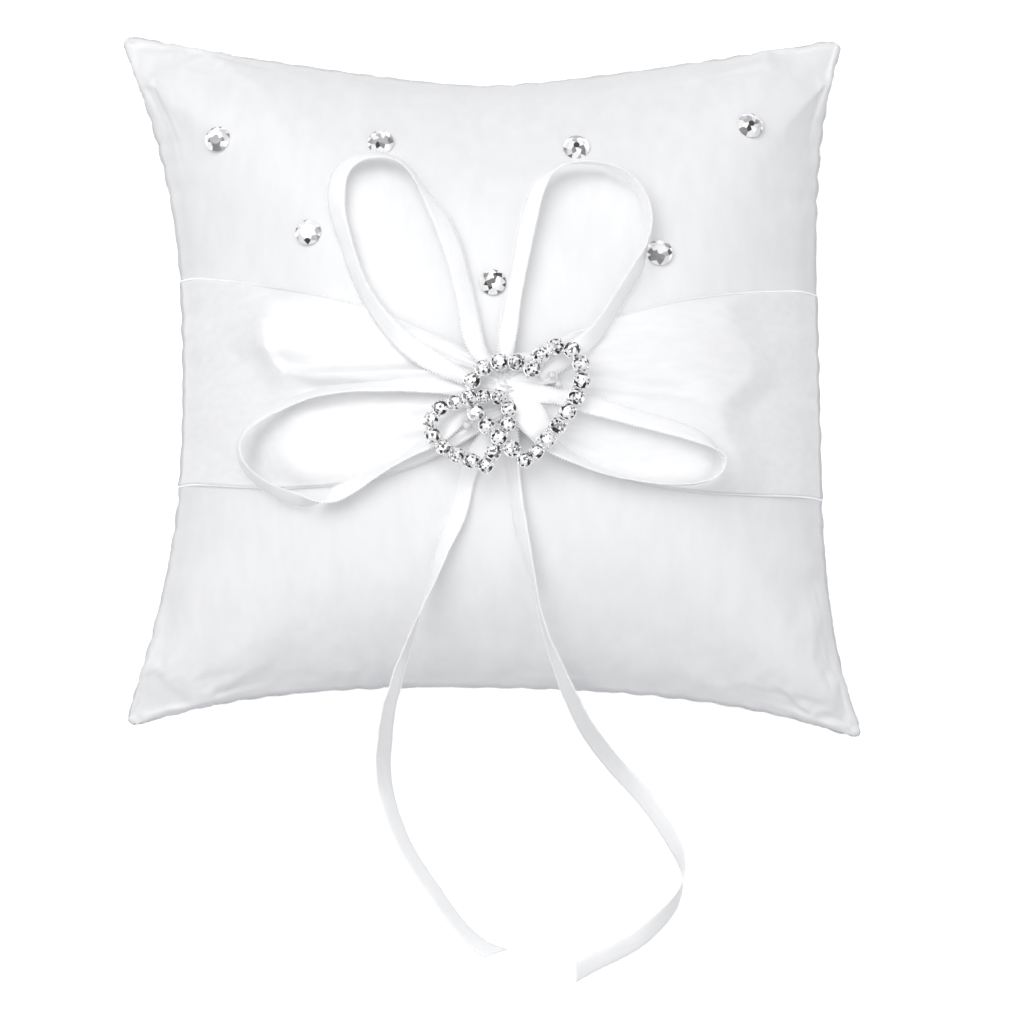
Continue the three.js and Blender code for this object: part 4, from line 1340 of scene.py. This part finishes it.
def add_cup(shape, centre, radius, heading):
    """One stone's cup: a flared ring with four bent prongs over the stone's edge."""
    root = np.array((centre[0], centre[1], HEART_BASE))
    ways = [level_way(turn) * radius for turn in np.arange(16) * math.pi / 8]
    shape.add_tube([[root + way * out + UP * rise for way in ways] for out, rise in CUP_PROFILE])
    for k in range(4):
        outward = level_way(heading + math.pi / 4 + k * math.pi / 2)
        points = [root + outward * radius * out + UP * rise for out, rise, _ in PRONG_LINE]
        shape.add_tube(round_rings(np.array(points), [thick for _, _, thick in PRONG_LINE], 7))


def add_heart_frame():
    """The cast silver frame of both hearts, with a pronged cup under every stone."""
    shape = Shape()
    for arcs in (LARGE_HEART_ARCS, SMALL_HEART_ARCS):
        add_rail(shape, arcs)
    for name in stone_names:
        large = name.startswith("large")
        arcs = LARGE_HEART_ARCS if large else SMALL_HEART_ARCS
        centre = centre_of(name)
        line = heart_line(arcs, HEART_STEPS)
        k = int(np.argmin(np.hypot(line[:, 0] - centre[0], line[:, 1] - centre[1])))
        way = line[(k + 1) % HEART_STEPS] - line[k - 1]
        add_cup(shape, centre, stone_radius(name), math.atan2(way[1], way[0]))
    obj = add_object("double_heart_setting", shape.vertices, shape.faces)
    finish_piece(obj, SILVER, "silver_plate", "double_heart_frame")


def brilliant(name, radius, girdle, height, reflection_tones, sides=8):
    """A cut stone: a flat table that shows the facets behind it, star and kite facets round it, small facets
    at the girdle, and a plain foil back."""
    vertices = []

    def ring(count, r, z, offset):
        start = len(vertices)
        for k in range(count):
            turn = 2 * math.pi * (k + offset) / count
            vertices.append((r * math.cos(turn), r * math.sin(turn), z))
        return start

    core = ring(sides, radius * 0.24, height, 0.5)
    table = ring(sides, radius * 0.54, height, 0)
    star = ring(sides, radius * 0.74, girdle + (height - girdle) * 0.66, 0.5)
    edge = ring(2 * sides, radius, girdle, 0)
    under = ring(2 * sides, radius * 0.9, girdle * 0.35, 0)
    base = ring(2 * sides, radius * 0.66, 0.0, 0)
    steps = [(k, (k + 1) % sides) for k in range(sides)]
    faces = [tuple(core + k for k in range(sides))]
    faces += [(core + k, table + after, core + after) for k, after in steps]
    faces += [(table + k, table + after, core + k) for k, after in steps]
    faces += [(table + k, star + k, table + after) for k, after in steps]
    faces += [(table + k, star + (k - 1) % sides, edge + 2 * k, star + k) for k in range(sides)]
    for k, after in steps:
        faces.append((star + k, edge + 2 * k, edge + 2 * k + 1))
        faces.append((star + k, edge + 2 * k + 1, edge + 2 * after))
    for k in range(2 * sides):
        after = (k + 1) % (2 * sides)
        faces.append((edge + k, under + k, under + after, edge + after))
        faces.append((under + k, base + k, base + after, under + after))
    faces.append(tuple(base + k for k in reversed(range(2 * sides))))
    obj = add_object(name, vertices, faces, smooth=False)
    # Each face's colour is a painted reflection: light or dark painted on the facet.
    layer = obj.data.attributes.new("painted_facet_reflection", "FLOAT_COLOR", "CORNER")
    colours = []
    for k, polygon in enumerate(obj.data.polygons):
        tone = reflection_tones[k] if k < len(reflection_tones) else FOIL_TONE
        colours += [painted_reflection_colour(tone, k)] * polygon.loop_total
    layer.data.foreach_set("color", np.array(colours, float).ravel())
    return obj


def painted_reflection_colour(tone, k):
    """A grey with a trace of blue, violet or warm brown: a painted reflection, with the tint of light split
    by cut glass painted in.
    """
    tints = ((1.0, 1.0, 1.0), (0.97, 0.985, 1.03), (1.0, 1.0, 1.0), (1.04, 0.995, 0.95), (1.0, 0.98, 1.02))
    return (*(min(1, tone * share) for share in tints[(k * 7) % len(tints)]), 1.0)


def seeded_reflection_tones(seed, dark_share, mid_share, count):
    """A mix of dark, grey and bright painted facet reflections that is the same at each run."""
    generator = np.random.default_rng(seed)
    reflection_tones = []
    for pick in generator.random(count):
        if pick < dark_share:
            reflection_tones.append(0.01 + 0.07 * generator.random())
        elif pick < dark_share + mid_share:
            reflection_tones.append(0.22 + 0.35 * generator.random())
        else:
            reflection_tones.append(0.88 + 0.12 * generator.random())
    return reflection_tones


def add_heart_stones():
    """A cut stone in every cup, each turned and tipped a little so that no two flash alike."""
    for k, name in enumerate(stone_names):
        # Painted reflections: mostly bright on the table and crown, more dark ones on the small facets at the
        # girdle.
        reflection_tones = seeded_reflection_tones(k, 0.24, 0.2, 33) + seeded_reflection_tones(k + 60, 0.5, 0.15, 16)
        obj = brilliant(name + "_cut", stone_radius(name), 0.0005, 0.00145, reflection_tones)
        centre = centre_of(name)
        obj.location = (centre[0], centre[1], HEART_BASE + 0.0013)
        obj.rotation_euler = (0.09 * math.sin(k * 2.3), 0.09 * math.cos(k * 1.7), k * 1.37)
        finish_piece(obj, STONE, "clear_stone", name)


def smooth_normal(x, y):
    """The cover's outward direction at a place, leaving its wrinkles out."""
    reach = 0.004
    xs = np.array((x - reach, x + reach, x, x))
    ys = np.array((y, y, y - reach, y + reach))
    west, east, south, north = cover_point(*front_uv(xs, ys), FRONT_RISE)
    return Vector(np.cross(east - west, north - south)).normalized()


def add_crystals():
    """Seven flat-backed crystals glued to the cover, lying on it where they sit."""
    for k, (name, flash) in enumerate(CRYSTAL_PAINTED_FLASHES.items()):
        x, y, _ = centre_of(name)
        place = cover_tree.ray_cast(Vector((x, y, 0.2)), Vector((0, 0, -1)))[0]
        normal = (smooth_normal(x, y) + Vector(UP) * 0.6).normalized()
        obj = brilliant(name + "_cut", CRYSTAL_RADIUS, 0.0009, CRYSTAL_HEIGHT, painted_crystal_reflections(flash, k))
        obj.location = place + normal * 0.0001
        obj.rotation_mode = "QUATERNION"
        obj.rotation_quaternion = Vector(UP).rotation_difference(normal)
        finish_piece(obj, STONE, "clear_stone", name)


def painted_crystal_reflections(flash, seed):
    """Painted reflection tones for a crystal's facets: its middle, its table's two rings, stars, kites and
    the rim's teeth.
    """
    middle, inner, outer = ([PAINTED_REFLECTION_TONES[letter] for letter in part] for part in flash)
    generator = np.random.default_rng(100 + seed)
    teeth = [0.97 if generator.random() < 0.66 else 0.12 + 0.4 * generator.random() for _ in range(16)]
    return middle + inner[1:] + inner[:1] + inner + inner + outer + teeth


# -- Floor and light ----------------------------------------------------------


def add_floor():
    """A plain pale table top."""
    obj = add_object("floor", [(-3, -3, 0), (3, -3, 0), (3, 3, 0), (-3, 3, 0)], [(0, 1, 2, 3)], smooth=False)
    obj.location.z = -0.0004
    material, _, shader = new_material("pale_floor")
    set_inputs(shader, {"Base Color": (0.92, 0.92, 0.92, 1), "Roughness": 1.0, "Specular IOR Level": 0.0})
    set_inputs(shader, {"Emission Color": (1, 1, 1, 1), "Emission Strength": 0.6})
    obj.data.materials.append(material)
    obj.visible_diffuse = False


def add_area_light(name, place, target, size, watts):
    data = bpy.data.lights.new(name, "AREA")
    data.shape = "RECTANGLE"
    data.size, data.size_y = size
    data.energy = watts
    light = bpy.data.objects.new(name, data)
    light.location = place
    light.rotation_mode = "QUATERNION"
    light.rotation_quaternion = (Vector(target) - Vector(place)).to_track_quat("-Z", "Y")
    bpy.context.scene.collection.objects.link(light)


def add_world():
    """Soft studio surroundings: bright overhead, a little darker and cooler towards the floor."""
    world = bpy.data.worlds.new("studio")
    bpy.context.scene.world = world
    world.use_nodes = True
    tree = world.node_tree
    tree.nodes.clear()
    coordinates = tree.nodes.new("ShaderNodeTexCoord")
    split = tree.nodes.new("ShaderNodeSeparateXYZ")
    ramp = tree.nodes.new("ShaderNodeValToRGB")
    background = tree.nodes.new("ShaderNodeBackground")
    output = tree.nodes.new("ShaderNodeOutputWorld")
    height = tree.nodes.new("ShaderNodeMapRange")
    set_inputs(height, {"From Min": -1.0, "From Max": 1.0})
    stops = ramp.color_ramp.elements
    stops[0].position, stops[0].color = 0.0, (*WORLD_LOW, 1)
    stops[1].position, stops[1].color = 1.0, (*WORLD_HIGH, 1)
    middle = stops.new(0.5)
    middle.color = (*WORLD_SIDE, 1)
    tree.links.new(coordinates.outputs["Generated"], split.inputs["Vector"])
    tree.links.new(split.outputs["Z"], height.inputs["Value"])
    tree.links.new(height.outputs["Result"], ramp.inputs["Fac"])
    tree.links.new(ramp.outputs["Color"], background.inputs["Color"])
    background.inputs["Strength"].default_value = WORLD_STRENGTH
    tree.links.new(background.outputs["Background"], output.inputs["Surface"])


add_gather_thread()
add_knot()
add_knot_stitches()
add_glue()
add_heart_frame()
add_heart_stones()
add_crystals()
add_floor()
add_world()
for softbox in LIGHTS:
    add_area_light(*softbox)
bpy.context.scene.view_settings.view_transform = "Standard"
